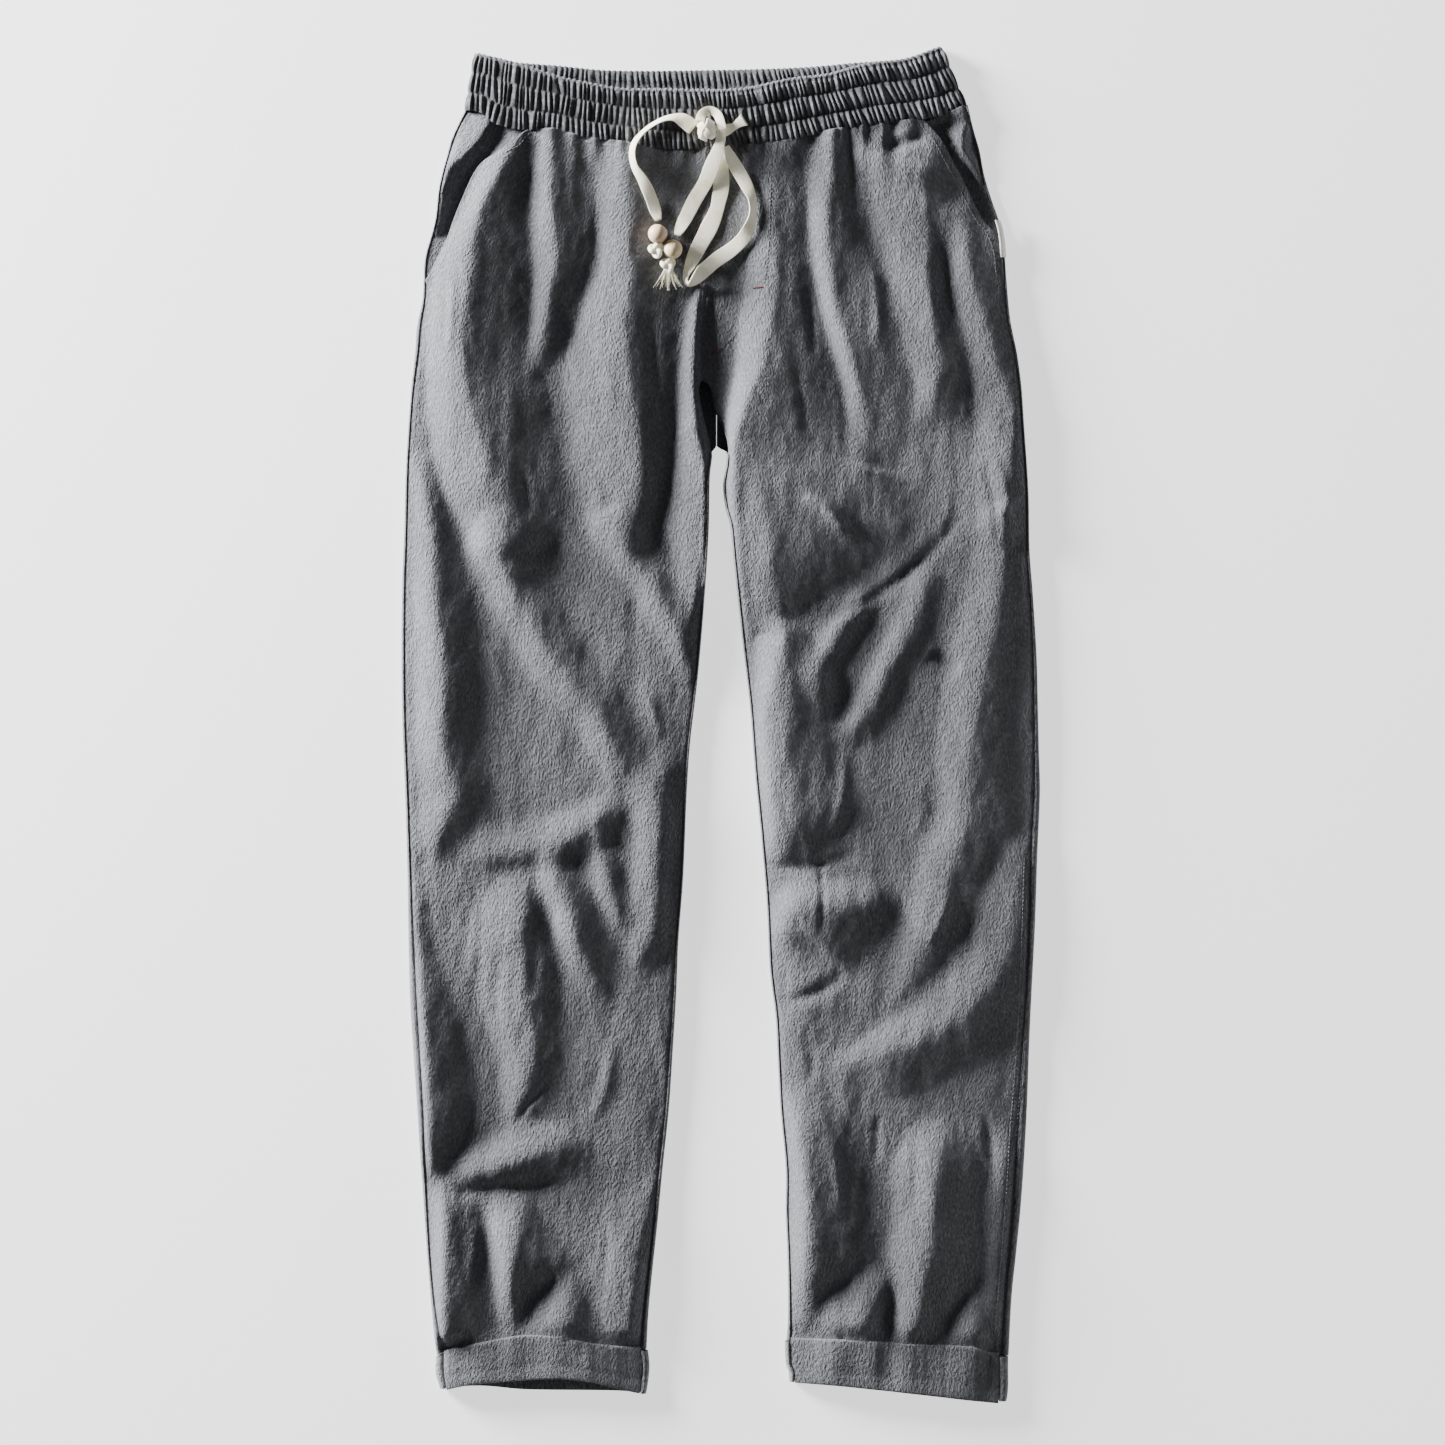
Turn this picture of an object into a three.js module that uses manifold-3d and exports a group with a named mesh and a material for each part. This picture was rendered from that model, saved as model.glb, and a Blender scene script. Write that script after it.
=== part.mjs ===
// Loose drawstring trousers with an elastic waist and turned-up cuffs, laid flat with the front up.
// Millimetres. +X runs to the viewer's right, +Y to the waist and +Z up from the surface they lie on.
// "Right" and "left" are the wearer's, so the right leg is at -X.
import * as THREE from 'three';
import { mergeVertices } from 'three/addons/utils/BufferGeometryUtils.js';
import Module from 'manifold-3d';

const wasm = await Module();
wasm.setup();

// Cloth walls, and the gap that seams keep.
const CLOTH = 1.6;
const DOUBLED_CLOTH = 3;
const FACING_CLOTH = 1.4;
const SEAM_GAP = 0.3;

// Heights of the front's outer face over the surface: at the side edges, across an unfolded
// stretch, and the lowest that a trough reaches where it lies on the back.
const EDGE_HEIGHT = 6.4;
const CROWN_HEIGHT = 8.2;
const CROWN_RUN = 34;
const FAR_FROM_INSEAM = 90;
const LOWEST_FRONT = 5.9;
const LOWEST_FACING = 3.4;

// Levels along the legs.
const POCKET_FOOT = 322;
const FRONT_CROTCH = 248;
const BACK_CROTCH = 203;
const CROTCH_BLEND = 7;
const CUFF_LEVEL = -452;
const FRONT_TOP = 433;
const BACK_TOP = 448;
const LEVEL_STEP = 22;
const FRONT_COLUMNS = 15;

// Where the waistband and the cuffs hold the folds down.
const BAND_HOLD = 46;
const CUFF_HOLD = 16;
const HELD_AT_BAND = 0.45;
const HELD_AT_CUFF = 0.3;

// Waistband: hollow under the front band, its wall, and its gathers.
const BAND_EDGE_GAP = 3.5;
const BAND_ARCH = 8;
const BAND_SIDES = { from: -187, to: 178 };
const ARCH_FULLNESS = 0.6;
const BAND_WALL = 2;
const BACK_BAND_WALL = 1.2;
const FRONT_GATHERS = 80;
const BACK_GATHERS = 52;
const GATHER_HEIGHT = 1.7;
const STITCHED_GATHER_HEIGHT = 0.5;

// Cuffs: hollow under the front of each.
const CUFF_EDGE_GAP = 3.5;
const CUFF_ARCH = 5.5;
const CUFF_COLUMNS = 14;
const CUFF_LEVELS = { top: -458, foot: -486 };
const CUFF_BACK_WALL = 2.2;
const CUFF_SEAM_DROP = 0.6;

// Drawstring and its beads.
const TAPE = { width: 9.6, thickness: 1.6 };
const BEAD_RADIUS = 7;
const BEAD_HOLE_RADIUS = 2.6;
const LAY_GAP = 0.35;

// The outline's middle in X and Y, which is put over the origin.
const OUTLINE_CENTRE = { x: -0.8, y: 0.35 };

const clothColour = new THREE.MeshStandardMaterial({ color: '#696a6b', roughness: 0.95, metalness: 0 });
const insideColour = new THREE.MeshStandardMaterial({ color: '#5a5b5d', roughness: 0.95, metalness: 0 });
const tapeColour = new THREE.MeshStandardMaterial({ color: '#e9e4cb', roughness: 0.9, metalness: 0 });
const beadColour = new THREE.MeshStandardMaterial({ color: '#dcc7a4', roughness: 0.6, metalness: 0 });
const labelColour = new THREE.MeshStandardMaterial({ color: '#ecebe8', roughness: 0.85, metalness: 0 });

const lerp = THREE.MathUtils.lerp;
const clamp = THREE.MathUtils.clamp;

// Eased step from 0 to 1.
function ease(t) {
  const s = clamp(t, 0, 1);
  return s * s * (3 - 2 * s);
}

// Rows of numbers as objects with named columns.
function table(names, rows) {
  return rows.map(row => Object.fromEntries(names.map((name, i) => [name, row[i]])));
}

// Smooth function of one column that passes through a table's rows.
function curveOf(rows, key, column) {
  const sorted = [...rows].sort((a, b) => a[key] - b[key]);
  const at = sorted.map(row => row[key]);
  const value = sorted.map(row => row[column]);
  const last = at.length - 1;
  const slope = at.map((_, i) => {
    const before = Math.max(i - 1, 0);
    const after = Math.min(i + 1, last);
    return (value[after] - value[before]) / (at[after] - at[before]);
  });
  return position => {
    const p = clamp(position, at[0], at[last]);
    let i = 0;
    while (i < last - 1 && p > at[i + 1]) i += 1;
    const span = at[i + 1] - at[i];
    const t = (p - at[i]) / span;
    const a = 2 * t ** 3 - 3 * t ** 2 + 1;
    const b = t ** 3 - 2 * t ** 2 + t;
    const c = t ** 3 - t ** 2;
    return a * value[i] + b * span * slope[i] + (1 - a) * value[i + 1] + c * span * slope[i + 1];
  };
}

// Straight lines between a table's rows.
function straightOf(rows, key, column) {
  return position => {
    const i = Math.max(rows.findIndex(row => row[key] >= position), 1);
    const [from, to] = [rows[i - 1], rows[i]];
    return lerp(from[column], to[column], (position - from[key]) / (to[key] - from[key]));
  };
}

// Outlines of the legs: the folded edge at each level, and how far inside it the seam lies.
const EDGE_COLUMNS = ['y', 'x', 'inset'];

const rightOuter = table(EDGE_COLUMNS, [
  [-458, -207.3, 5.5], [-404, -213.6, 2.4], [-324, -219.4, 3.4], [-280, -222, 4.5], [-238, -225, 5],
  [-197, -227.5, 5], [-147, -228.8, 3.8], [-97, -229.7, 2.7], [-50, -231.2, 2.6], [10, -233.4, 2.6],
  [90, -233.6, 2.6], [138, -232, 2.4], [190, -230.4, 2], [241, -227, 2], [270, -224, 3],
  [291, -222.4, 3.4], [310, -218.4, 2], [340, -216.8, 1.6], [366, -209.6, 1.6], [391, -206.4, 1.6],
  [411, -201.6, 1.6], [428, -197, 1.8], [449, -187, 2],
]);

const rightInner = table(EDGE_COLUMNS, [
  [-458, -55.3, 5], [-428, -53.6, 3.6], [-396, -50.4, 3], [-364, -47, 2.8], [-324, -43.2, 2.5],
  [-280, -38.6, 2.4], [-238, -35.8, 2.2], [-197, -33.3, 2], [-158, -31.7, 1.6], [-113, -28.3, 1.6],
  [-50, -25.6, 1.6], [-14, -23.2, 1.6], [34, -17.6, 1.6], [90, -12.8, 1.6], [141, -9.6, 1.6],
  [180, -8.8, 1.6], [201, -11, 1.6], [222, -17.6, 1.6], [241, -18.4, 1.6], [249, -14.5, 1.6],
]);

const leftOuter = table(EDGE_COLUMNS, [
  [-458, 208.8, 6.4], [-420, 211, 5.4], [-388, 214.4, 6], [-356, 217.6, 6.5], [-324, 220, 6.8],
  [-280, 222.5, 6], [-238, 224, 5], [-197, 225.8, 4.6], [-147, 228.3, 5], [-97, 230, 5],
  [-50, 232, 4.4], [-21, 231.3, 3.6], [14, 230.5, 3], [49, 229.6, 2.6], [92, 227, 2.2],
  [127, 224.4, 2], [170, 223.5, 1.8], [222, 220, 1.8], [246, 218.4, 1.8], [270, 215.2, 1.8],
  [294, 210.4, 1.8], [318, 208, 1.8], [342, 206.4, 1.8], [361, 204, 1.8], [385, 196, 1.8],
  [401, 191.2, 1.8], [417, 188, 1.8], [435, 182.4, 1.8], [452, 178.4, 2],
]);

const leftInner = table(EDGE_COLUMNS, [
  [-458, 46.5, 4], [-436, 48, 2.4], [-388, 47.7, 1.6], [-356, 46.4, 1.6], [-324, 46.4, 1.6],
  [-280, 42.5, 1.6], [-247, 40.8, 1.6], [-213, 39, 1.6], [-180, 35, 1.6], [-130, 32.5, 1.6],
  [-80, 28.3, 1.6], [-38, 24.2, 1.6], [14, 20.2, 1.6], [62, 14.7, 1.6], [118, 8.6, 1.6],
  [144, 6, 1.6], [158, 2.4, 1.6], [174, 0.8, 1.6], [190, 3.2, 1.6], [203, 3, 1.6],
  [214, 0, 1.6], [228, -6.4, 1.6], [244, -9.6, 1.6], [249, -13, 1.6],
]);

// The front's centre seam, and the back's.
const centreSeam = table(['y', 'x'], [
  [248, -14], [262, -16.5], [290, -17], [313, -15], [340, -12], [380, -8], [433, -4],
]);
const BACK_SEAM_X = -4;

// The slant edges of the front pockets.
const rightSlant = table(['y', 'x'], [
  [322, -215.8], [340, -206.4], [353, -200], [371, -193.6], [385, -187], [398, -179],
  [406, -171], [415.6, -160], [420, -153], [428, -147], [433, -141],
]);
const leftSlant = table(['y', 'x'], [
  [322, 205], [345, 202.4], [360, 196], [366, 190.5], [377, 184], [388, 177.5], [403, 167.5],
  [418.8, 157.6], [430, 148], [439.6, 141.6],
]);

// The waistband's edges, from side to side.
const bandTopFront = table(['x', 'y'], [
  [-180, 489], [-144, 479.6], [-120, 471.6], [-96, 466], [-72, 462], [-40, 461.5], [0, 461],
  [20, 462.8], [49, 469], [76, 472.4], [105, 480.4], [134, 484.4], [160, 494],
]);
const bandFootFront = table(['x', 'y'], [
  [-187, 448.4], [-176, 446], [-165, 438], [-144, 433], [-122, 433], [-104, 428.4], [-80, 424.4],
  [-40, 418.8], [10, 420], [49, 425], [80, 432], [121, 437.7], [160, 443.6], [178, 451.6],
]);
const bandTopBack = table(['x', 'y'], [
  [-180, 488.7], [-160, 483.6], [-120, 480], [-80, 476.4], [0, 476.8], [60, 478.8], [100, 482.3],
  [135, 485], [160, 493.7],
]);
const bandFootBack = table(['x', 'y'], [[-187, 448.2], [BACK_SEAM_X, 435], [178, 451.4]]);

// The cuffs: upper edge, and the lower folds of the front and the back.
const cuffs = {
  right: {
    side: -1,
    mouth: { from: -203, to: -58 },
    top: table(['x', 'y'], [
      [-209, -461.6], [-201.6, -457.6], [-160, -449], [-141, -446.4], [-115, -448], [-96, -452],
      [-74, -455], [-53, -456.4],
    ]),
    frontFoot: table(['x', 'y'], [
      [-209, -486], [-184, -480], [-160, -477.6], [-122, -475], [-96, -477.6], [-64, -485.6],
      [-53, -487.4],
    ]),
    backFoot: table(['x', 'y'], [
      [-209, -484.5], [-176, -483], [-144, -485.6], [-80, -486.4], [-53, -488.2],
    ]),
    outer: table(EDGE_COLUMNS, [[-490, -205.4, 5], [-483, -206.4, 5], [-473, -208.8, 6], [-458, -208.8, 6]]),
    inner: table(EDGE_COLUMNS, [[-490, -56.4, 4], [-482, -54.4, 4.5], [-468, -52.8, 5], [-455, -54.2, 5]]),
  },
  left: {
    side: 1,
    mouth: { from: 51, to: 203 },
    top: table(['x', 'y'], [
      [45, -449.4], [96, -450], [120, -451.7], [160, -454], [181, -455.5], [192, -458.4], [209, -461],
    ]),
    frontFoot: table(['x', 'y'], [[45, -478.2], [80, -480], [112, -483], [144, -486.4], [209, -494.5]]),
    backFoot: table(['x', 'y'], [[45, -478.6], [112, -485.6], [144, -489.2], [176, -492], [209, -493.6]]),
    outer: table(EDGE_COLUMNS, [[-496, 202, 5], [-484, 208, 6], [-460, 208.8, 6.4], [-455, 208.8, 6.4]]),
    inner: table(EDGE_COLUMNS, [[-480, 48.8, 4], [-473, 46.4, 4], [-452, 45.6, 4], [-445, 45.6, 4]]),
  },
};

const edge = {
  right: {
    outer: curveOf(rightOuter, 'y', 'x'),
    outerInset: curveOf(rightOuter, 'y', 'inset'),
    inner: curveOf(rightInner, 'y', 'x'),
    innerInset: curveOf(rightInner, 'y', 'inset'),
    slant: curveOf(rightSlant, 'y', 'x'),
  },
  left: {
    outer: curveOf(leftOuter, 'y', 'x'),
    outerInset: curveOf(leftOuter, 'y', 'inset'),
    inner: curveOf(leftInner, 'y', 'x'),
    innerInset: curveOf(leftInner, 'y', 'inset'),
    slant: curveOf(leftSlant, 'y', 'x'),
  },
};
const centreX = curveOf(centreSeam, 'y', 'x');
const footOfFrontBand = curveOf(bandFootFront, 'x', 'y');
const footOfBackBand = straightOf(bandFootBack, 'x', 'y');
const topOfCuff = { right: curveOf(cuffs.right.top, 'x', 'y'), left: curveOf(cuffs.left.top, 'x', 'y') };

// Folds of the front. Each is a ridge along a line that is walked down the leg, or from right to
// left where it runs across. "lit" is the width of its slope to the walker's right, which faces
// up and left, "shade" that of its other slope, and "height" its rise over the cloth around it.
const FOLD_COLUMNS = ['x', 'y', 'lit', 'shade', 'height'];

const folds = {
  rightPocketPleat: [
    [-148, 426, 10, 14, 4], [-162, 400, 16, 24, 8], [-176, 370, 14, 36, 10], [-182, 330, 28, 44, 12],
    [-188, 290, 28, 48, 13], [-186, 255, 30, 50, 13], [-178, 220, 36, 56, 13], [-162, 175, 42, 48, 12],
    [-157, 140, 30, 46, 8],
  ],
  rightThighDiagonal: [
    [-160, 128, 26, 40, 7], [-150, 98, 26, 34, 8], [-136, 71, 22, 30, 8], [-116, 38, 24, 30, 8],
    [-92, 12, 22, 24, 7], [-80, -14, 18, 22, 6], [-68, -36, 18, 20, 4], [-60, -60, 12, 14, 0],
  ],
  rightSideRidge: [
    [-218, 190, 8, 14, 2], [-212, 140, 14, 16, 5], [-208, 90, 18, 28, 7], [-202, 40, 22, 26, 7],
    [-200, -20, 24, 24, 7], [-192, -50, 26, 22, 6], [-205, -80, 18, 18, 4], [-212, -100, 12, 14, 0],
  ],
  rightWaistPleat: [
    [-122, 428, 14, 16, 4], [-121, 400, 19, 26, 8], [-120, 375, 19, 28, 9], [-116, 340, 23, 22, 8],
    [-122, 318, 16, 22, 7], [-127, 290, 12, 18, 5], [-136, 262, 8, 12, 2], [-141, 250, 5, 6, 0],
  ],
  rightInnerPleat: [
    [-70, 424, 18, 20, 4], [-68, 400, 25, 32, 9], [-67, 360, 25, 33, 10], [-66, 320, 34, 36, 12],
    [-69, 290, 40, 40, 13], [-67, 260, 54, 36, 14], [-62, 225, 56, 28, 14], [-59, 190, 54, 20, 12],
    [-61, 160, 46, 16, 9], [-66, 135, 34, 14, 4], [-72, 115, 20, 12, 0],
  ],
  rightCentreRidge: [
    [-19, 318, 8, 5, 2], [-24, 299, 9, 6, 5], [-26, 275, 9, 7, 6], [-27, 250, 10, 7, 6],
    [-22, 225, 12, 6, 5], [-17, 200, 18, 6, 5], [-15, 175, 24, 6, 6], [-17, 140, 24, 8, 6],
    [-20, 110, 20, 8, 5], [-23, 90, 12, 8, 4], [-26, 60, 8, 7, 0],
  ],
  rightInnerDiagonal: [
    [-86, 158, 14, 18, 0], [-82, 148, 18, 20, 5], [-66, 124, 17, 24, 7], [-51, 103, 16, 24, 7],
    [-40, 82, 16, 20, 6], [-29, 62, 15, 12, 5], [-24, 42, 12, 8, 3], [-22, 25, 8, 5, 0],
  ],
  rightKneeCrease: [
    [-70, -50, 14, 14, 0], [-86, -68, 18, 18, 5], [-110, -85, 22, 18, 6], [-132, -91, 24, 14, 5],
    [-165, -97, 24, 10, 3], [-198, -95, 16, 8, 0],
  ],
  rightKneePleat: [
    [-128, -92, 14, 10, 0], [-120, -112, 16, 16, 6], [-110, -132, 16, 18, 8], [-106, -152, 18, 22, 8],
    [-98, -172, 18, 18, 6], [-88, -192, 14, 10, 3], [-80, -212, 10, 8, 0],
  ],
  rightKneeCrumple: [
    [-88, -84, 8, 10, 2], [-86, -100, 12, 16, 5], [-79, -122, 14, 12, 5], [-72, -145, 12, 10, 3],
    [-66, -165, 8, 8, 0],
  ],
  rightInnerKnee: [
    [-36, -20, 12, 8, 0], [-46, -45, 20, 16, 5], [-44, -80, 22, 14, 6], [-47, -115, 22, 14, 6],
    [-49, -145, 18, 14, 5], [-57, -165, 12, 18, 4], [-60, -185, 8, 10, 0],
  ],
  rightOutseamRoll: [
    [-223, -120, 5, 8, 1], [-221, -165, 5, 10, 2], [-220, -200, 5, 22, 5], [-217, -240, 5, 32, 6],
    [-215, -285, 5, 32, 6], [-213, -315, 5, 20, 4], [-211, -335, 5, 10, 0],
  ],
  rightShinRidge: [
    [-142, -105, 20, 10, 0], [-142, -140, 50, 10, 6], [-138, -175, 55, 12, 7], [-137, -210, 45, 16, 6],
    [-137, -245, 28, 22, 6], [-146, -285, 14, 14, 2], [-150, -300, 8, 10, 0],
  ],
  rightShinCrease: [
    [-100, -300, 14, 14, 0], [-115, -308, 20, 24, 5], [-132, -313, 24, 22, 7], [-160, -322, 24, 20, 7],
    [-182, -327, 16, 14, 5], [-199, -333, 8, 8, 0],
  ],
  rightAnklePleat: [
    [-152, -338, 14, 10, 0], [-149, -362, 22, 22, 7], [-152, -385, 17, 44, 10], [-154, -405, 13, 34, 9],
    [-153, -425, 13, 18, 6], [-149, -446, 10, 10, 3],
  ],
  rightAnkleRoll: [
    [-206, -338, 6, 12, 2], [-204, -355, 6, 28, 5], [-203, -385, 6, 30, 6], [-204, -420, 6, 38, 6],
    [-203, -445, 6, 38, 5],
  ],
  rightAnkleWedge: [
    [-110, -398, 6, 6, 0], [-111, -415, 17, 15, 5], [-114, -430, 26, 28, 8], [-118, -447, 28, 42, 9],
  ],
  rightInseamRise: [
    [-52, -330, 14, 5, 0], [-56, -360, 30, 6, 3], [-61, -400, 34, 6, 5], [-65, -440, 30, 6, 5],
  ],
  flyRidge: [
    [36, 422, 12, 16, 3], [38, 400, 18, 28, 8], [41, 370, 16, 23, 9], [42, 340, 14, 22, 9],
    [39, 305, 28, 30, 10], [37, 275, 34, 38, 11], [36, 240, 30, 46, 11], [34, 205, 26, 54, 10],
    [30, 175, 20, 60, 10], [22, 145, 14, 72, 10], [18, 115, 8, 74, 9], [18, 92, 6, 62, 6],
    [22, 74, 4, 36, 2],
  ],
  leftWaistPleat: [
    [82, 426, 10, 10, 3], [82, 400, 16, 13, 6], [79, 370, 16, 18, 7], [79, 335, 16, 34, 9],
    [84, 300, 16, 40, 9], [93, 270, 19, 36, 9], [100, 245, 20, 30, 8], [98, 215, 14, 26, 6],
    [94, 180, 10, 20, 3], [92, 160, 8, 14, 0],
  ],
  leftMiddlePleat: [
    [146, 395, 40, 10, 4], [148, 360, 32, 13, 8], [149, 335, 30, 15, 9], [152, 305, 28, 14, 9],
    [156, 275, 24, 20, 9], [158, 250, 22, 26, 7], [150, 228, 14, 30, 4], [146, 212, 10, 24, 0],
  ],
  leftPocketPleat: [
    [172, 368, 10, 12, 2], [178, 345, 15, 20, 6], [188, 305, 22, 16, 7], [199, 272, 22, 12, 7],
    [209, 240, 27, 8, 7], [212, 215, 28, 7, 7], [211, 175, 30, 9, 8], [207, 150, 26, 14, 9],
  ],
  leftLongRidge: [
    [206, 146, 26, 14, 2], [204, 100, 34, 21, 9], [195, 50, 44, 31, 12], [185, 0, 34, 40, 12],
    [180, -40, 28, 40, 11], [179, -70, 28, 34, 10], [168, -103, 34, 26, 9], [162, -130, 34, 22, 9],
    [155, -150, 32, 23, 8], [145, -170, 22, 22, 6], [137, -192, 14, 18, 3], [132, -208, 8, 12, 0],
  ],
  leftThighShort: [
    [110, 98, 8, 10, 0], [103, 88, 12, 14, 5], [86, 67, 12, 16, 6], [73, 42, 12, 20, 5],
    [72, 20, 8, 14, 2], [74, 4, 6, 8, 0],
  ],
  leftThighLong: [
    [152, 116, 10, 10, 0], [149, 102, 14, 14, 5], [138, 72, 14, 18, 6], [125, 45, 14, 18, 6],
    [108, 12, 14, 18, 6], [94, -5, 12, 16, 4], [84, -16, 8, 10, 0],
  ],
  leftThighArc: [[58, 168, 8, 8, 0], [80, 151, 8, 12, 4], [92, 138, 8, 10, 2], [98, 126, 6, 8, 0]],
  leftInnerKnee: [
    [46, 78, 14, 12, 0], [44, 62, 20, 20, 4], [39, 35, 16, 50, 7], [32, 5, 8, 55, 7],
    [33, -35, 8, 54, 7], [38, -70, 10, 60, 8], [41, -90, 10, 40, 4], [44, -104, 8, 20, 0],
  ],
  leftKneeCrease: [
    [128, -128, 10, 14, 0], [108, -132, 24, 30, 5], [80, -134, 28, 55, 8], [55, -136, 26, 56, 8],
    [44, -150, 10, 46, 5], [42, -170, 6, 25, 0],
  ],
  leftShinDiagonal: [
    [220, -95, 18, 6, 2], [217, -130, 28, 8, 5], [211, -160, 32, 14, 7], [200, -185, 36, 26, 9],
    [180, -208, 34, 34, 10], [150, -228, 26, 30, 9], [118, -240, 18, 34, 7], [96, -246, 12, 20, 3],
    [80, -250, 8, 10, 0],
  ],
  leftInseamRidge: [
    [49, -262, 5, 10, 0], [53, -290, 7, 34, 5], [58, -320, 9, 42, 7], [62, -355, 12, 43, 8],
    [61, -392, 12, 44, 8], [62, -415, 12, 16, 4], [63, -440, 10, 6, 0],
  ],
  leftAnklePleat: [
    [158, -285, 14, 14, 0], [158, -315, 40, 30, 8], [155, -355, 48, 34, 10], [150, -392, 42, 38, 10],
    [146, -415, 24, 28, 8], [140, -435, 19, 22, 6], [136, -449, 16, 18, 5],
  ],
  leftAnkleWedge: [
    [116, -392, 8, 8, 0], [113, -412, 30, 12, 5], [107, -428, 34, 14, 7], [99, -447, 32, 20, 7],
  ],
  leftAnkleSmallWedge: [
    [185, -408, 6, 8, 0], [186, -425, 15, 9, 4], [185, -440, 20, 10, 6], [184, -452, 22, 11, 6],
  ],
  leftOutseamRise: [
    [210, -290, 14, 4, 0], [207, -330, 18, 4, 3], [203, -380, 15, 4, 3], [199, -440, 10, 4, 3],
  ],
  leftPocketBag: [[160, 398, 10, 12, 0], [140, 401, 9, 14, 3], [113, 411, 9, 14, 4], [96, 426, 8, 12, 2]],
};

// A fold's line as short straight steps along a smooth curve through its rows.
const STEPS_A_ROW = 3;

function foldLine(rows) {
  const named = table(FOLD_COLUMNS, rows).map((row, i) => ({ ...row, at: i }));
  const columns = Object.fromEntries(FOLD_COLUMNS.map(name => [name, curveOf(named, 'at', name)]));
  const steps = (rows.length - 1) * STEPS_A_ROW;
  return Array.from({ length: steps + 1 }, (_, i) => {
    const at = i / STEPS_A_ROW;
    return Object.fromEntries(FOLD_COLUMNS.map(name => [name, columns[name](at)]));
  });
}

const foldLines = Object.values(folds).map(foldLine);

// Slope of a fold from its crest, at 0, to its foot, at 1: rounded, and a little keener at the crest.
const CREST_KEENNESS = 0.3;

function slopeShape(s) {
  if (s >= 1) return 0;
  return lerp(1 - ease(s), (1 - s) ** 2, CREST_KEENNESS);
}

// Rise that one fold gives at a point: its height, eased away over the width of the side it is on.
function foldRise(line, x, y) {
  let nearest = Infinity;
  let rise = 0;
  for (let i = 0; i < line.length - 1; i += 1) {
    const from = line[i];
    const to = line[i + 1];
    const along = { x: to.x - from.x, y: to.y - from.y };
    const length = Math.hypot(along.x, along.y);
    const t = clamp(((x - from.x) * along.x + (y - from.y) * along.y) / length ** 2, 0, 1);
    const away = { x: x - from.x - t * along.x, y: y - from.y - t * along.y };
    const distance = Math.hypot(away.x, away.y);
    if (distance >= nearest) continue;
    nearest = distance;
    const side = distance > 0 ? (along.x * away.y - along.y * away.x) / (length * distance) : 0;
    const lit = lerp(from.lit, to.lit, t);
    const shade = lerp(from.shade, to.shade, t);
    const width = lerp(lit, shade, (1 + side) / 2);
    rise = Math.max(lerp(from.height, to.height, t), 0) * slopeShape(distance / width);
  }
  return rise;
}

// Full arch from 0 at two ends to 1 halfway.
function arch(x, { from, to }) {
  return Math.sin(Math.PI * clamp((x - from) / (to - from), 0, 1)) ** ARCH_FULLNESS;
}

// Height of the front band's underside: lowest at its ends, arched between them.
function bandHollow(x) {
  return BAND_EDGE_GAP + BAND_ARCH * arch(x, BAND_SIDES);
}

function cuffHollow(side, x) {
  return CUFF_EDGE_GAP + CUFF_ARCH * arch(x, cuffs[side].mouth);
}

// Height of the front's outer face: the crown between the edges, the folds, and what holds them.
function clothHeight(x, y) {
  const side = x < centreX(y) ? 'right' : 'left';
  const leg = edge[side];
  const outerRun = Math.abs(x - leg.outer(y));
  const apart = FAR_FROM_INSEAM * ease((y - BACK_CROTCH) / (FRONT_CROTCH - BACK_CROTCH));
  const innerRun = Math.abs(x - leg.inner(y)) + apart;
  let height = lerp(EDGE_HEIGHT, CROWN_HEIGHT, ease(Math.min(outerRun, innerRun) / CROWN_RUN));
  const bandHold = ease((y - footOfFrontBand(x) + BAND_HOLD) / BAND_HOLD);
  const cuffHold = ease((topOfCuff[side](x) + CUFF_HOLD - y) / CUFF_HOLD);
  const rise = foldLines.reduce((sum, line) => sum + foldRise(line, x, y), 0);
  height += rise * lerp(1, HELD_AT_BAND, bandHold) * lerp(1, HELD_AT_CUFF, cuffHold);
  height = lerp(height, height - CROWN_HEIGHT + bandHollow(x) + BAND_WALL - 1, bandHold);
  height = lerp(height, height - CROWN_HEIGHT + cuffHollow(side, x) + DOUBLED_CLOTH - 1, cuffHold);
  return Math.max(height, LOWEST_FRONT);
}

// Drop of the pocket facing below the front, and the height of a panel's edge at the side seam.
const FACING_DROP = 2.5;

function facingHeight(x, y) {
  return Math.max(clothHeight(x, y) - FACING_DROP, LOWEST_FACING);
}

function seamHeight(x, y) {
  return y < POCKET_FOOT ? clothHeight(x, y) : facingHeight(x, y);
}

// Levels from stop to stop, evenly spaced and no further apart than a step.
function levelsBetween(stops, step) {
  const levels = [stops[0]];
  for (let i = 1; i < stops.length; i += 1) {
    const count = Math.ceil((stops[i] - stops[i - 1]) / step);
    for (let k = 1; k <= count; k += 1) levels.push(lerp(stops[i - 1], stops[i], k / count));
  }
  return levels;
}

const crotchStops = [BACK_CROTCH - CROTCH_BLEND, BACK_CROTCH + 3, 241, FRONT_CROTCH, 262];
const frontLevels = levelsBetween([CUFF_LEVEL, ...crotchStops, POCKET_FOOT, FRONT_TOP], LEVEL_STEP);
const backLevels = levelsBetween([CUFF_LEVEL, ...crotchStops, POCKET_FOOT, BACK_TOP], LEVEL_STEP);

// Level of a row at x: rows near an edge bend to follow it.
const CUFF_BEND = 50;
const BAND_BEND = 60;

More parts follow.
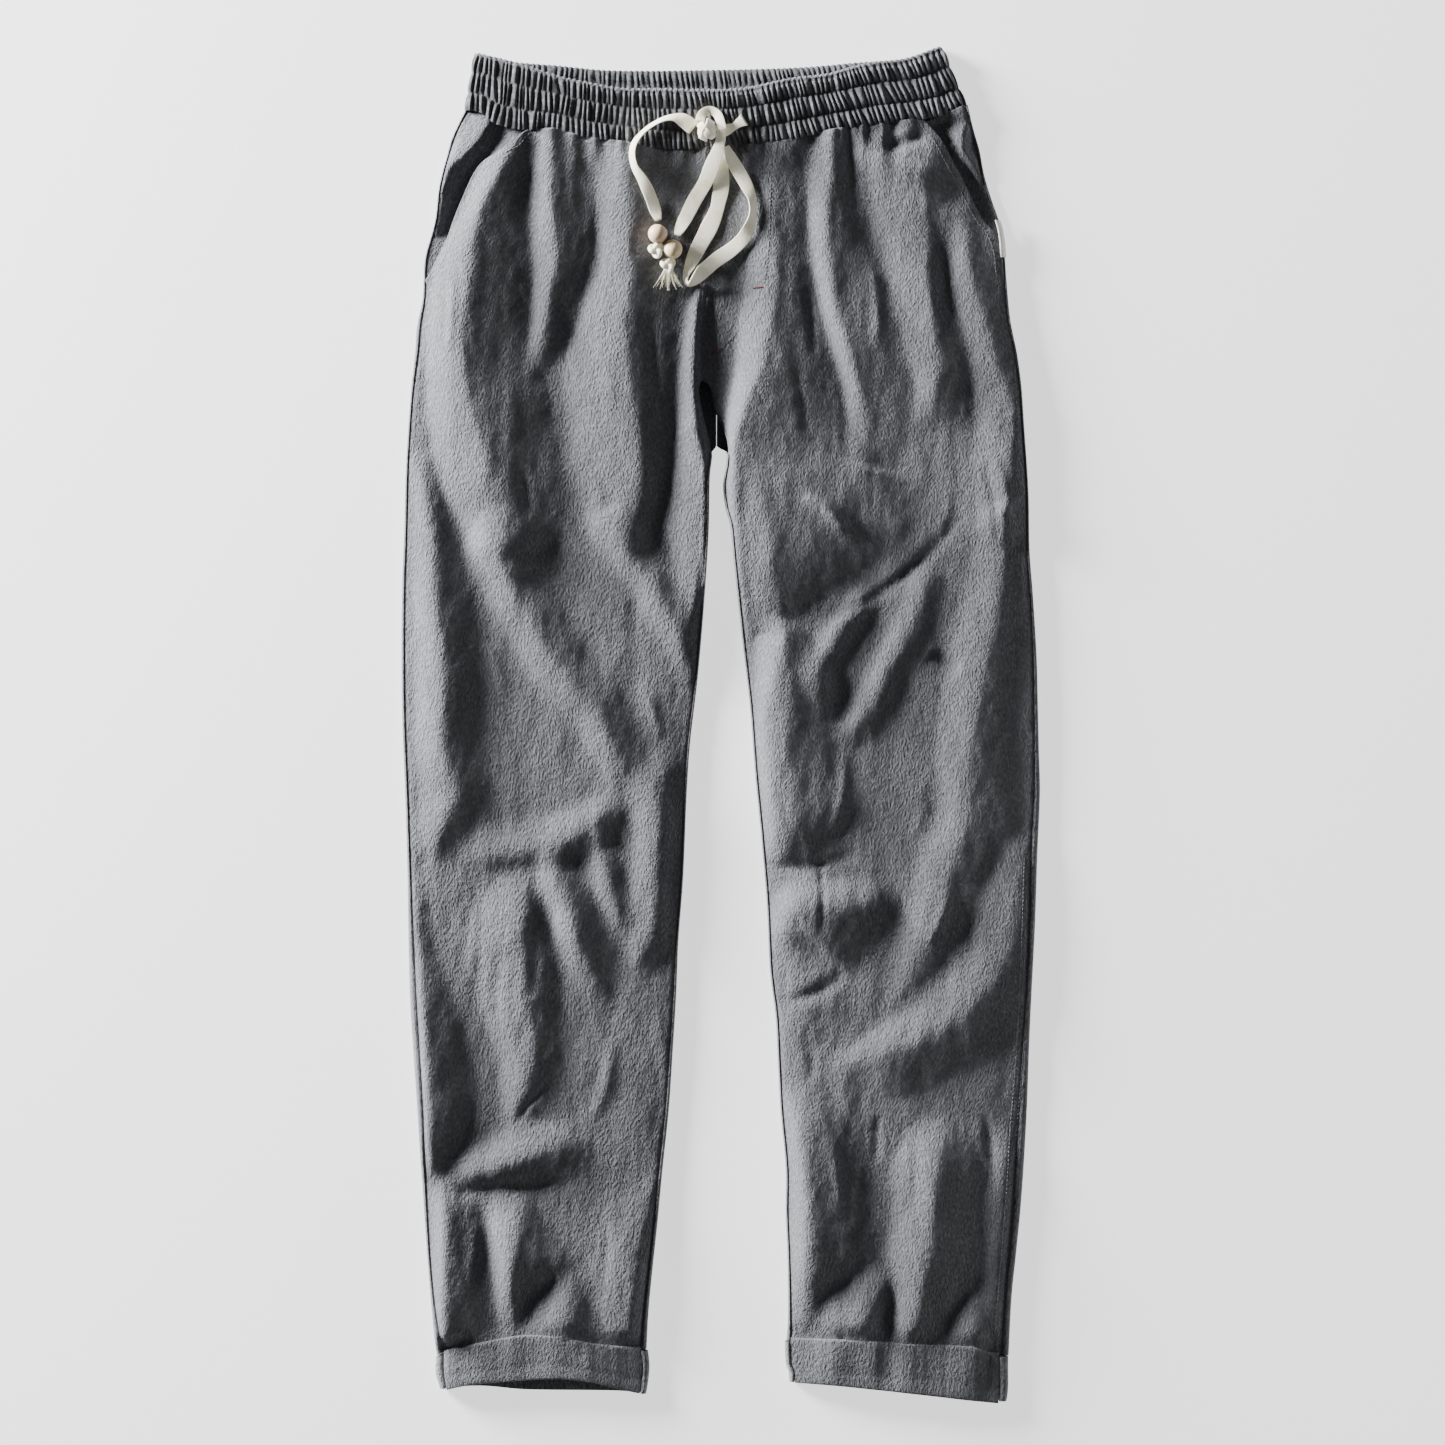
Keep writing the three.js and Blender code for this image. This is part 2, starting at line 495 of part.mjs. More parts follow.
function bentLevel(level, x, side, top, footOfBand) {
  const low = ease((CUFF_LEVEL + CUFF_BEND - level) / CUFF_BEND);
  const high = ease((level - top + BAND_BEND) / BAND_BEND);
  const toCuff = topOfCuff[side](x) + SEAM_GAP - CUFF_LEVEL;
  const toBand = footOfBand(x) - SEAM_GAP - top;
  return level + toCuff * low + toBand * high;
}

// A closed wall between two grids of points of the same size.
function wall(outer, inner) {
  const rows = outer.length;
  const columns = outer[0].length;
  const positions = [];
  for (const grid of [outer, inner]) {
    for (const row of grid) for (const point of row) positions.push(...point);
  }
  const faces = [];
  const quad = (a, b, c, d) => faces.push(a, b, c, a, c, d);
  const out = (r, c) => r * columns + c;
  const back = (r, c) => rows * columns + r * columns + c;
  for (let r = 0; r < rows - 1; r += 1) {
    for (let c = 0; c < columns - 1; c += 1) {
      quad(out(r, c), out(r, c + 1), out(r + 1, c + 1), out(r + 1, c));
      quad(back(r, c), back(r + 1, c), back(r + 1, c + 1), back(r, c + 1));
    }
    quad(out(r, 0), out(r + 1, 0), back(r + 1, 0), back(r, 0));
    quad(out(r, columns - 1), back(r, columns - 1), back(r + 1, columns - 1), out(r + 1, columns - 1));
  }
  for (let c = 0; c < columns - 1; c += 1) {
    quad(out(0, c), back(0, c), back(0, c + 1), out(0, c + 1));
    quad(out(rows - 1, c), out(rows - 1, c + 1), back(rows - 1, c + 1), back(rows - 1, c));
  }
  return closedGeometry(positions, faces);
}

// A geometry whose faces point out, whichever way round its grid was walked.
function closedGeometry(positions, faces) {
  const point = i => new THREE.Vector3(...positions.slice(3 * i, 3 * i + 3));
  let volume = 0;
  for (let i = 0; i < faces.length; i += 3) {
    volume += point(faces[i]).dot(point(faces[i + 1]).cross(point(faces[i + 2])));
  }
  if (volume < 0) faces.reverse();
  const geometry = new THREE.BufferGeometry();
  geometry.setAttribute('position', new THREE.Float32BufferAttribute(positions, 3));
  geometry.setIndex(faces);
  geometry.computeVertexNormals();
  return geometry;
}

const lowered = (grid, drop) => grid.map(row => row.map(([x, y, z]) => [x, y, z - drop]));

// Front panel: from the side seam, or the pocket's slant edge, to the inseam or the centre seam.
function frontLeg(side) {
  const leg = edge[side];
  const outward = side === 'right' ? -1 : 1;
  const outer = frontLevels.map(level => {
    const outseam = leg.outer(level) - outward * (leg.outerInset(level) + SEAM_GAP);
    const outside = level < POCKET_FOOT ? outseam : leg.slant(level);
    const inseam = leg.inner(level) + outward * (leg.innerInset(level) + SEAM_GAP);
    const inside = level < FRONT_CROTCH ? inseam : centreX(level) + outward * SEAM_GAP / 2;
    return Array.from({ length: FRONT_COLUMNS + 1 }, (_, c) => {
      const x = lerp(outside, inside, c / FRONT_COLUMNS);
      const y = bentLevel(level, x, side, FRONT_TOP, footOfFrontBand);
      return [x, y, clothHeight(x, y)];
    });
  });
  return wall(outer, lowered(outer, CLOTH));
}

// Section of a rolled edge, from the seam out to the folded edge. "inset" is a share of the seam's
// inset, "z" of its height, and "innerZ" of the inner face's way from the flat back up to the seam.
const rolledEdge = table(['inset', 'z', 'innerZ'], [
  [1, 1, 1],
  [0.12, 0.78, 0.6],
  [0, 0.34, 0.3],
]);
const ROLL_FOOT = 3.4;
const ROLL_INSIDE = 1;
const FLAT_JOIN = 12;

// Back panel: flat underneath, rolled up round both edges to meet the front.
function rolledPanel(levels, bend, outline, centreJoin, thickness) {
  const outer = [];
  const inner = [];
  for (const level of levels) {
    const { outerX, outerInset, innerX, innerInset, outward } = outline(level);
    const rolled = 1 - ease((level - BACK_CROTCH + CROTCH_BLEND) / CROTCH_BLEND);
    const innerRoll = centreJoin ? rolled : 1;
    const row = [];
    const rolledSide = (foldX, inset, inward, roll, flatX) => rolledEdge.map((row, i) => {
      const { inset: share, z, innerZ } = row;
      const seamX = foldX + inward * inset;
      const rise = bend.height(seamX, bend.y(level, seamX));
      const x = lerp(flatX(i), foldX + inward * inset * share, roll);
      const insideX = lerp(flatX(i), share === 1 ? seamX : foldX + inward * thickness, roll);
      return {
        outer: [x, bend.y(level, x), rise * z * roll],
        inner: [insideX, bend.y(level, x), lerp(thickness, lerp(thickness, rise - thickness, innerZ), roll)],
      };
    });
    const flat = (x, inward) => ({
      outer: [x, bend.y(level, x), 0],
      inner: [x + inward * ROLL_INSIDE, bend.y(level, x), thickness],
    });
    const flatEnd = BACK_SEAM_X + outward * SEAM_GAP / 2;
    const flatStart = flatEnd + outward * FLAT_JOIN;
    const spread = i => lerp(flatEnd, flatStart, i / rolledEdge.length);
    row.push(...rolledSide(outerX, outerInset, -outward, 1, () => outerX));
    row.push(flat(outerX - outward * ROLL_FOOT, -outward));
    row.push(flat(lerp(flatStart, innerX + outward * ROLL_FOOT, innerRoll), outward * innerRoll));
    row.push(...rolledSide(innerX, innerInset, outward, innerRoll, spread).reverse());
    outer.push(row.map(point => point.outer));
    inner.push(row.map(point => point.inner));
  }
  return wall(outer, inner);
}

function backLeg(side) {
  const leg = edge[side];
  const outward = side === 'right' ? -1 : 1;
  const bend = {
    y: (level, x) => bentLevel(level, x, side, BACK_TOP, footOfBackBand),
    height: seamHeight,
  };
  const outline = level => ({
    outerX: leg.outer(level),
    outerInset: leg.outerInset(level),
    innerX: leg.inner(level),
    innerInset: leg.innerInset(level),
    outward,
  });
  return rolledPanel(backLevels, bend, outline, true, CLOTH);
}

// Pocket facing: from the side seam to a little way under the slant edge.
const FACING_TUCK = 9;
const FACING_COLUMNS = 5;

function pocketFacing(side) {
  const leg = edge[side];
  const outward = side === 'right' ? -1 : 1;
  const levels = backLevels.filter(level => level >= POCKET_FOOT);
  const outer = levels.map(level => {
    const share = (level - POCKET_FOOT) / (BACK_TOP - POCKET_FOOT);
    const outside = leg.outer(level) - outward * (leg.outerInset(level) + SEAM_GAP);
    const slantLevel = lerp(POCKET_FOOT, FRONT_TOP, share);
    const inside = leg.slant(slantLevel) - outward * FACING_TUCK;
    const slantY = share < 1 ? slantLevel : footOfFrontBand(inside) - SEAM_GAP;
    const seamY = bentLevel(level, outside, side, BACK_TOP, footOfBackBand);
    return Array.from({ length: FACING_COLUMNS + 1 }, (_, c) => {
      const x = lerp(outside, inside, c / FACING_COLUMNS);
      const straightY = lerp(seamY, slantY, c / FACING_COLUMNS);
      const y = share < 1 ? straightY : Math.min(straightY, footOfFrontBand(x) - SEAM_GAP);
      return [x, y, facingHeight(x, y)];
    });
  });
  return wall(outer, lowered(outer, FACING_CLOTH));
}

// Waistband: a plain inner face and an outer face raised into gathers, which the channel
// stitches press down. "y" is the share of the band's height from its foot.
const frontChannels = table(['y', 'gather', 'phase'], [
  [0, 0.7, 0], [0.17, 1, 0.4], [0.33, 0, 0.9], [0.5, 1, 1.7], [0.66, 0, 2.4], [0.83, 1, 3.1], [1, 0.55, 3.6],
]);
const backChannels = table(['y', 'gather', 'phase'], [
  [0, 0.4, 0], [0.33, 0, 0.7], [0.66, 0, 1.9], [0.83, 1, 2.8], [1, 0.7, 3.3],
]);
const GATHER_WANDER = 0.32;

function gatheredBand(top, foot, footY, channels, gathers, plain, wallThickness) {
  const topY = curveOf(top, 'x', 'y');
  const ends = { top: [top[0].x, top.at(-1).x], foot: [foot[0].x, foot.at(-1).x] };
  const columns = 2 * gathers;
  const pitch = (ends.foot[1] - ends.foot[0]) / columns;
  const grid = channels.map(channel => Array.from({ length: columns + 1 }, (_, i) => {
    const u = i / columns;
    const fromFoot = lerp(ends.foot[0], ends.foot[1], u);
    const fromTop = lerp(ends.top[0], ends.top[1], u);
    const wander = Math.sin(1.7 * i + 2.3 * channel.phase) * GATHER_WANDER * pitch;
    const free = i > 0 && i < columns;
    const x = lerp(fromFoot, fromTop, channel.y) + (free ? wander : 0);
    const y = lerp(footY(fromFoot), topY(fromTop), channel.y);
    const uneven = 0.78 + 0.22 * Math.sin(2.9 * i + 4.1 * channel.phase);
    const crest = i % 2 ? lerp(STITCHED_GATHER_HEIGHT, GATHER_HEIGHT * uneven, channel.gather) : 0;
    return [x, y, plain(fromFoot) + wallThickness + crest];
  }));
  const inside = channels.map(channel => Array.from({ length: columns + 1 }, (_, i) => {
    const fromFoot = lerp(ends.foot[0], ends.foot[1], i / columns);
    const fromTop = lerp(ends.top[0], ends.top[1], i / columns);
    const y = lerp(footY(fromFoot), topY(fromTop), channel.y);
    return [lerp(fromFoot, fromTop, channel.y), y, plain(fromFoot)];
  }));
  return { raised: grid, inside: [inside[0], inside.at(-1)] };
}

// A closed wall whose outer grid has more rows than its plain inner one.
function raisedWall({ raised, inside }) {
  const columns = raised[0].length;
  const positions = [...raised, ...inside].flat(2);
  const faces = [];
  const quad = (a, b, c, d) => faces.push(a, b, c, a, c, d);
  const last = raised.length - 1;
  const out = (r, c) => r * columns + c;
  const low = c => (last + 1) * columns + c;
  const high = c => (last + 2) * columns + c;
  for (let c = 0; c < columns - 1; c += 1) {
    for (let r = 0; r < last; r += 1) quad(out(r, c), out(r, c + 1), out(r + 1, c + 1), out(r + 1, c));
    quad(low(c), high(c), high(c + 1), low(c + 1));
    quad(out(0, c), low(c), low(c + 1), out(0, c + 1));
    quad(out(last, c), out(last, c + 1), high(c + 1), high(c));
  }
  for (const [c, turned] of [[0, true], [columns - 1, false]]) {
    const ring = [low(c), ...raised.map((_, r) => out(r, c)), high(c)];
    for (let i = 1; i < ring.length - 1; i += 1) {
      const face = [ring[0], ring[i + 1], ring[i]];
      faces.push(...(turned ? face.reverse() : face));
    }
  }
  return closedGeometry(positions, faces);
}

const frontBand = () => raisedWall(gatheredBand(
  bandTopFront, bandFootFront, footOfFrontBand, frontChannels, FRONT_GATHERS, bandHollow, BAND_WALL,
));

const backBand = () => raisedWall(gatheredBand(
  bandTopBack, bandFootBack, footOfBackBand, backChannels, BACK_GATHERS, () => 0, BACK_BAND_WALL,
));

// Front of a turned-up cuff: doubled cloth whose lower fold is rounded. "share" runs from its
// upper edge to its foot, and the insets pull its outer and inner faces in towards the fold.
const cuffSection = table(['share', 'outerDrop', 'innerRise'], [
  [0, 0.3, 0], [0.35, 0, 0], [0.72, 0.15, 0], [0.93, 0.45, 0.3], [1, 1.1, 0.9],
]);

function cuffFront(side) {
  const cuff = cuffs[side];
  const outward = cuff.side;
  const footY = curveOf(cuff.frontFoot, 'x', 'y');
  const grids = { outer: [], inner: [] };
  for (const { share, outerDrop, innerRise } of cuffSection) {
    const level = lerp(CUFF_LEVELS.top, CUFF_LEVELS.foot, share);
    const from = cuffEdge(cuff.outer, level, -outward);
    const to = cuffEdge(cuff.inner, level, outward);
    const row = rise => Array.from({ length: CUFF_COLUMNS + 1 }, (_, c) => {
      const x = lerp(from, to, c / CUFF_COLUMNS);
      return [x, lerp(topOfCuff[side](x) - SEAM_GAP, footY(x), share), cuffHollow(side, x) + rise];
    });
    grids.outer.push(row(DOUBLED_CLOTH - outerDrop));
    grids.inner.push(row(innerRise));
  }
  return wall(grids.outer, grids.inner);
}

// The seam's place on a cuff's edge, at a level.
function cuffEdge(rows, level, inward) {
  return curveOf(rows, 'y', 'x')(level) + inward * (curveOf(rows, 'y', 'inset')(level) + SEAM_GAP);
}

function cuffBack(side) {
  const cuff = cuffs[side];
  const footY = curveOf(cuff.backFoot, 'x', 'y');
  const levels = levelsBetween([CUFF_LEVELS.foot, CUFF_LEVELS.top], 10);
  const share = level => (CUFF_LEVELS.top - level) / (CUFF_LEVELS.top - CUFF_LEVELS.foot);
  const bend = {
    y: (level, x) => lerp(topOfCuff[side](x) - 2 * SEAM_GAP, footY(x), share(level)),
    height: x => cuffHollow(side, x) + DOUBLED_CLOTH - CUFF_SEAM_DROP,
  };
  const outline = level => ({
    outerX: curveOf(cuff.outer, 'y', 'x')(level),
    outerInset: curveOf(cuff.outer, 'y', 'inset')(level),
    innerX: curveOf(cuff.inner, 'y', 'x')(level),
    innerInset: curveOf(cuff.inner, 'y', 'inset')(level),
    outward: cuff.side,
  });
  return rolledPanel(levels, bend, outline, false, CUFF_BACK_WALL);
}

const place = new THREE.Group();
const laid = [];

function addPiece(name, geometry, material) {
  const mesh = new THREE.Mesh(geometry, material);
  mesh.name = name;
  place.add(mesh);
  laid.push(mesh);
  return mesh;
}

for (const side of ['right', 'left']) {
  addPiece(`back_leg_${side}`, backLeg(side), clothColour);
  addPiece(`pocket_facing_${side}`, pocketFacing(side), clothColour);
  addPiece(`front_leg_${side}`, frontLeg(side), clothColour);
  addPiece(`cuff_back_${side}`, cuffBack(side), insideColour);
  addPiece(`cuff_front_${side}`, cuffFront(side), clothColour);
}
addPiece('waistband_back', backBand(), insideColour);
addPiece('waistband_front', frontBand(), clothColour);

// Height of whatever is laid so far, straight under a point.
const plumb = new THREE.Raycaster();
const DOWN = new THREE.Vector3(0, 0, -1);
const ABOVE_ALL = 200;

function laidHeight(x, y) {
  plumb.set(new THREE.Vector3(x, y, ABOVE_ALL), DOWN);
  const [hit] = plumb.intersectObjects(laid, false);
  return hit ? hit.point.z : 0;
}

// Side label: a small bare tab over the left side seam, made from the points under it.
const LABEL = { from: -5.6, to: 0.6, low: 339, high: 369, wall: 1.2, step: 6 };

function sideLabel() {
  const outer = levelsBetween([LABEL.low, LABEL.high], LABEL.step).map(y => [0, 0.5, 1].map(u => {
    const x = edge.left.outer(y) + lerp(LABEL.from, LABEL.to, u);
    const under = [-3, 0, 3].map(step => laidHeight(Math.min(x, edge.left.outer(y) - 0.6), y + step));
    return [x, y, Math.max(...under) + SEAM_GAP + LABEL.wall];
  }));
  const level = Math.max(...outer.flat().map(point => point[2]));
  const flat = outer.map(row => row.map(([x, y]) => [x, y, level]));
  return wall(flat, lowered(flat, LABEL.wall));
}

// A closed tube through rings of points, with its ends filled.
function tube(rings) {
  const sides = rings[0].length;
  const faces = [];
  const at = (r, k) => r * sides + (k % sides);
  for (let r = 0; r < rings.length - 1; r += 1) {
    for (let k = 0; k < sides; k += 1) {
      faces.push(at(r, k), at(r, k + 1), at(r + 1, k + 1), at(r, k), at(r + 1, k + 1), at(r + 1, k));
    }
  }
  for (let k = 1; k < sides - 1; k += 1) {
    faces.push(at(0, 0), at(0, k + 1), at(0, k));
    faces.push(at(rings.length - 1, 0), at(rings.length - 1, k), at(rings.length - 1, k + 1));
  }
  return closedGeometry(rings.flat(2), faces);
}

// Flat tape's section, as shares of its width and thickness.
const tapeSection = table(['across', 'up'], [
  [0.5, -0.2], [0.5, 0.2], [0.42, 0.5], [-0.42, 0.5], [-0.5, 0.2], [-0.5, -0.2], [-0.42, -0.5], [0.42, -0.5],
]);

// Routes of the drawstring over the cloth. "lift" raises the tape off what is under it, "turn"
// rolls it in degrees, and "width" narrows it where it is bunched.
const ROUTE_COLUMNS = ['x', 'y', 'lift', 'turn', 'width'];

const routes = {
  ear: table(ROUTE_COLUMNS, [
    [-1.5, 429.5, 0, 0, 0.6], [5, 432, 0, 0, 0.8], [11, 435, 0, 0, 0.9], [16.6, 437.8, 0, 0, 0.8],
  ]),
  tailRight: table(ROUTE_COLUMNS, [
    [-17.5, 440, 0, 0, 0.5], [-14, 446, 0, 30, 0.6], [-8, 448.5, 0, 40, 0.6], [-2, 445.5, 0, 30, 0.6],
    [0.5, 437, 0, 20, 0.7], [0, 427, 0, 10, 0.9], [-4.5, 414, 0, 0, 1], [-10, 399, 0, 0, 1],
    [-16, 385, 0, 0, 1], [-23, 372.5, 0, 0, 1], [-29, 363, 0, 10, 0.8], [-32.6, 355.5, 0.8, 20, 0.45],
  ]),
  tailLeft: table(ROUTE_COLUMNS, [
    [-20, 436, 0, 0, 0.6], [-26, 439.4, 0, 0, 0.8], [-38, 439, 0, 0, 0.95], [-50, 434.5, 0, 0, 0.95],
    [-60, 426.5, 0, 20, 0.85], [-64.5, 416, 0, 45, 0.85], [-62.5, 405.5, 0, 50, 0.9],
    [-57.5, 395.5, 0, 30, 0.95], [-52, 385.5, 0, 10, 1], [-48, 375, 0, 0, 0.9], [-46.2, 366, 0.8, 0, 0.45],
  ]),
  loop: table(ROUTE_COLUMNS, [
    [-6, 416, 0, 0, 0.5], [-1, 404, 0, 0, 0.85], [1, 389, 0, 0, 1], [-2, 373, 0, 0, 1],
    [-9, 357, 0, 0, 1], [-16.5, 343, 0, 0, 0.95], [-23, 331, 0, 20, 0.75], [-26.5, 322.5, 0, 50, 0.45],
    [-23.5, 318.6, 0.5, 60, 0.4], [-18.5, 322.5, 1.6, 40, 0.5], [-12, 331, 2.4, 15, 0.85],
    [-4, 339.5, 1.6, 0, 1], [6, 347, 0.4, 0, 1], [16, 357.5, 0, 0, 1], [21.4, 369, 0, 0, 1],
    [21.4, 379.5, 0, 0, 1], [18, 389, 0, 0, 1], [12.5, 398, 1.2, 0, 1], [8, 407, 2.6, 0, 0.85],
    [4.4, 417, 2.6, 0, 0.5],
  ]),
};

const TAPE_STEP = 5.4;
const SAMPLES_ACROSS = [-1, -0.5, 0, 0.5, 1];
const SAMPLE_MARGIN = 0.5;
const LOOK_AHEAD = 0.05;

// A tape that lies along a route on whatever is under it, as rings and centre points.
function layTape(route) {
  const named = route.map((row, i) => ({ ...row, at: i }));
  const column = Object.fromEntries(ROUTE_COLUMNS.map(name => [name, curveOf(named, 'at', name)]));
  const gaps = route.slice(1).map((row, i) => Math.hypot(row.x - route[i].x, row.y - route[i].y));
  const reach = gaps.reduce((sum, gap) => sum + gap, 0);
  const steps = Math.round(reach / TAPE_STEP);
  const stations = Array.from({ length: steps + 1 }, (_, i) => {
    const at = (i / steps) * (route.length - 1);
    const ahead = {
      x: column.x(at + LOOK_AHEAD) - column.x(at - LOOK_AHEAD),
      y: column.y(at + LOOK_AHEAD) - column.y(at - LOOK_AHEAD),
    };
    const length = Math.hypot(ahead.x, ahead.y);
    const side = { x: -ahead.y / length, y: ahead.x / length };
    const turn = THREE.MathUtils.degToRad(column.turn(at));
    const half = { across: TAPE.width * column.width(at) / 2, up: TAPE.thickness / 2 };
    const across = half.across * Math.cos(turn) + half.up * Math.sin(turn) + SAMPLE_MARGIN;
    const up = half.across * Math.sin(turn) + half.up * Math.cos(turn);
    let under = 0;
    for (const near of [-0.5, 0, 0.5]) {
      const step = near * (route.length - 1) / steps;
      for (const share of SAMPLES_ACROSS) {
        const x = column.x(at + step) + side.x * share * across;
        const y = column.y(at + step) + side.y * share * across;
        under = Math.max(under, laidHeight(x, y));
      }
    }
    return { x: column.x(at), y: column.y(at), lift: column.lift(at), side, turn, half, up, under };
  });
  const inRoute = k => clamp(k, 0, steps);
  const near = (i, value) => [i - 1, i, i + 1].map(k => value(stations[inRoute(k)], inRoute(k)));
  const peak = stations.map((_, i) => Math.max(...near(i, station => station.under + station.up)));
  return stations.map((station, i) => {
    const rest = near(i, (_, k) => peak[k]).reduce((sum, value) => sum + value, 0) / 3;
    return { ...station, z: rest + LAY_GAP + station.lift };
  });
}

function tapeGeometry(route) {
  return tube(layTape(route).map(({ x, y, z, side, turn, half }) => tapeSection.map(({ across, up }) => {
    const a = across * 2 * half.across;
    const b = up * 2 * half.up;
    const along = a * Math.cos(turn) - b * Math.sin(turn);
    return [x + side.x * along, y + side.y * along, z + a * Math.sin(turn) + b * Math.cos(turn)];
  })));
}

// A turned bead with a hole through it, resting on what is under it.
const beads = table(['name', 'x', 'y', 'heading'], [
  ['bead_left', -46.6, 355.6, 264],
  ['bead_right', -35.8, 344.8, 246],
]);
const BEAD_STEPS = 8;
const BEAD_SIDES = 14;

function beadGeometry({ x, y, heading }) {
  const lip = Math.asin(BEAD_HOLE_RADIUS / BEAD_RADIUS);
  const round = Array.from({ length: BEAD_STEPS + 1 }, (_, i) => {
    const angle = lerp(lip, Math.PI - lip, i / BEAD_STEPS);
    return new THREE.Vector2(BEAD_RADIUS * Math.sin(angle), -BEAD_RADIUS * Math.cos(angle));
  });
  const geometry = new THREE.LatheGeometry([...round, round[0]], BEAD_SIDES);
  geometry.rotateZ(THREE.MathUtils.degToRad(heading - 90));
  const rings = [0, 0.3, 0.6, 0.85].flatMap(share => Array.from({ length: 12 }, (_, k) => {
    const angle = k * Math.PI / 6;
    const run = share * BEAD_RADIUS;
    const under = laidHeight(x + run * Math.cos(angle), y + run * Math.sin(angle));
    return under + Math.sqrt(BEAD_RADIUS ** 2 - run ** 2);
  }));
  geometry.translate(x, y, Math.max(...rings) + LAY_GAP);
  return geometry;
}

// Solids joined into one closed body.
function joined(geometries) {
  const solids = geometries.map(geometry => {
    const bare = new THREE.BufferGeometry();
    bare.setAttribute('position', geometry.getAttribute('position'));
    bare.setIndex(geometry.index);
    const merged = mergeVertices(bare, 1e-3);
    return new wasm.Manifold(new wasm.Mesh({
      numProp: 3,
      vertProperties: new Float32Array(merged.getAttribute('position').array),
      triVerts: new Uint32Array(merged.index.array),
    }));
  });
  const mesh = solids.reduce((all, solid) => all.add(solid)).getMesh();
  const geometry = new THREE.BufferGeometry();
  geometry.setAttribute('position', new THREE.BufferAttribute(mesh.vertProperties, 3));
  geometry.setIndex([...mesh.triVerts]);
  geometry.computeVertexNormals();
  return geometry;
}

function ellipsoid({ x, y, radii, turn = 0, sides = 14 }) {
  const geometry = new THREE.SphereGeometry(1, sides, Math.round(sides / 2) + 1);
  geometry.rotateX(Math.PI / 2);
  geometry.scale(...radii);
  geometry.rotateZ(THREE.MathUtils.degToRad(turn));
  geometry.translate(x, y, 0);
  return geometry;
}

// Knots rest on the cloth at their lowest point.
function restKnot(geometry, x, y, reach, drop) {
  const under = [];
  for (let dx = -reach; dx <= reach; dx += reach / 4) {
    for (let dy = -reach; dy <= reach; dy += reach / 4) under.push(laidHeight(x + dx, y + dy));
  }
  geometry.translate(0, 0, Math.max(...under) + drop + LAY_GAP);
  return geometry;
}

const KNOT = { x: -11, y: 430.5, radii: [7.6, 6, 4.4] };

function drawstringKnot() {
  const core = ellipsoid({ ...KNOT, turn: 20 });
  const wrap = ellipsoid({ x: KNOT.x + 0.4, y: KNOT.y - 0.5, radii: [4.6, 8.4, 4.1], turn: -28 });
  return restKnot(joined([core, wrap]), KNOT.x, KNOT.y, 8.5, KNOT.radii[2]);
}

// End knots: the left a plain one, the right with its tape's threads frayed out below it.
const END_KNOT = {
  radii: [4.6, 5, 3.6],
  left: { x: -47.8, y: 344.15, turn: 15 },
  right: { x: -39.12, y: 333.56, turn: 10 },
};
const FRAY = { strands: 9, length: 17, spread: 5.2, radius: 0.75, root: 2.5 };

function endKnotLeft() {
  const { x, y, turn } = END_KNOT.left;
  const knot = ellipsoid({ x, y, radii: END_KNOT.radii, turn, sides: 12 });
  return restKnot(knot, x, y, 5, END_KNOT.radii[2]);
}

function endKnotRight() {
  const foot = END_KNOT.right;
  const knot = ellipsoid({ x: foot.x, y: foot.y, radii: END_KNOT.radii, turn: foot.turn, sides: 12 });
  const strands = Array.from({ length: FRAY.strands }, (_, i) => {
    const u = i / (FRAY.strands - 1) - 0.5;
    const sway = 0.9 * Math.sin(2.1 * i);
    const length = FRAY.length * (0.86 + 0.14 * Math.cos(1.9 * i));
    const rings = [0, 0.5, 1].map(t => {
      const x = foot.x + FRAY.root * 2 * u * (1 - t) + 2 * FRAY.spread * u * t + sway * t * (1 - t) * 2;
      const y = foot.y - 2 - length * t;
      return [0, 1, 2].map(k => {
        const angle = (k / 3) * 2 * Math.PI;
        return [x + FRAY.radius * Math.cos(angle), y, FRAY.radius * Math.sin(angle) - 1.2];
      });
    });
    return tube(rings);
  });
  return restKnot(joined([knot, ...strands]), foot.x, foot.y - 8, 11, END_KNOT.radii[2]);
}

addPiece('side_label', sideLabel(), labelColour);
addPiece('drawstring_knot', drawstringKnot(), tapeColour);
addPiece('drawstring_loop', tapeGeometry(routes.loop), tapeColour);
addPiece('drawstring_ear', tapeGeometry(routes.ear), tapeColour);
addPiece('drawstring_tail_left', tapeGeometry(routes.tailLeft), tapeColour);
addPiece('drawstring_tail_right', tapeGeometry(routes.tailRight), tapeColour);
addPiece('end_knot_left', endKnotLeft(), tapeColour);
addPiece('end_knot_right', endKnotRight(), tapeColour);
for (const bead of beads) addPiece(bead.name, beadGeometry(bead), beadColour);

// The outline's middle goes over the origin.
place.position.set(-OUTLINE_CENTRE.x, -OUTLINE_CENTRE.y, 0);
const trousers = new THREE.Group();
trousers.add(place);

export default trousers;
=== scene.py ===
"""Summer trousers laid flat with the front up: cloth, gathered waist, drawstring, beads and stage."""
import math

import bpy
import numpy as np
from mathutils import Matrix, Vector
from mathutils.bvhtree import BVHTree


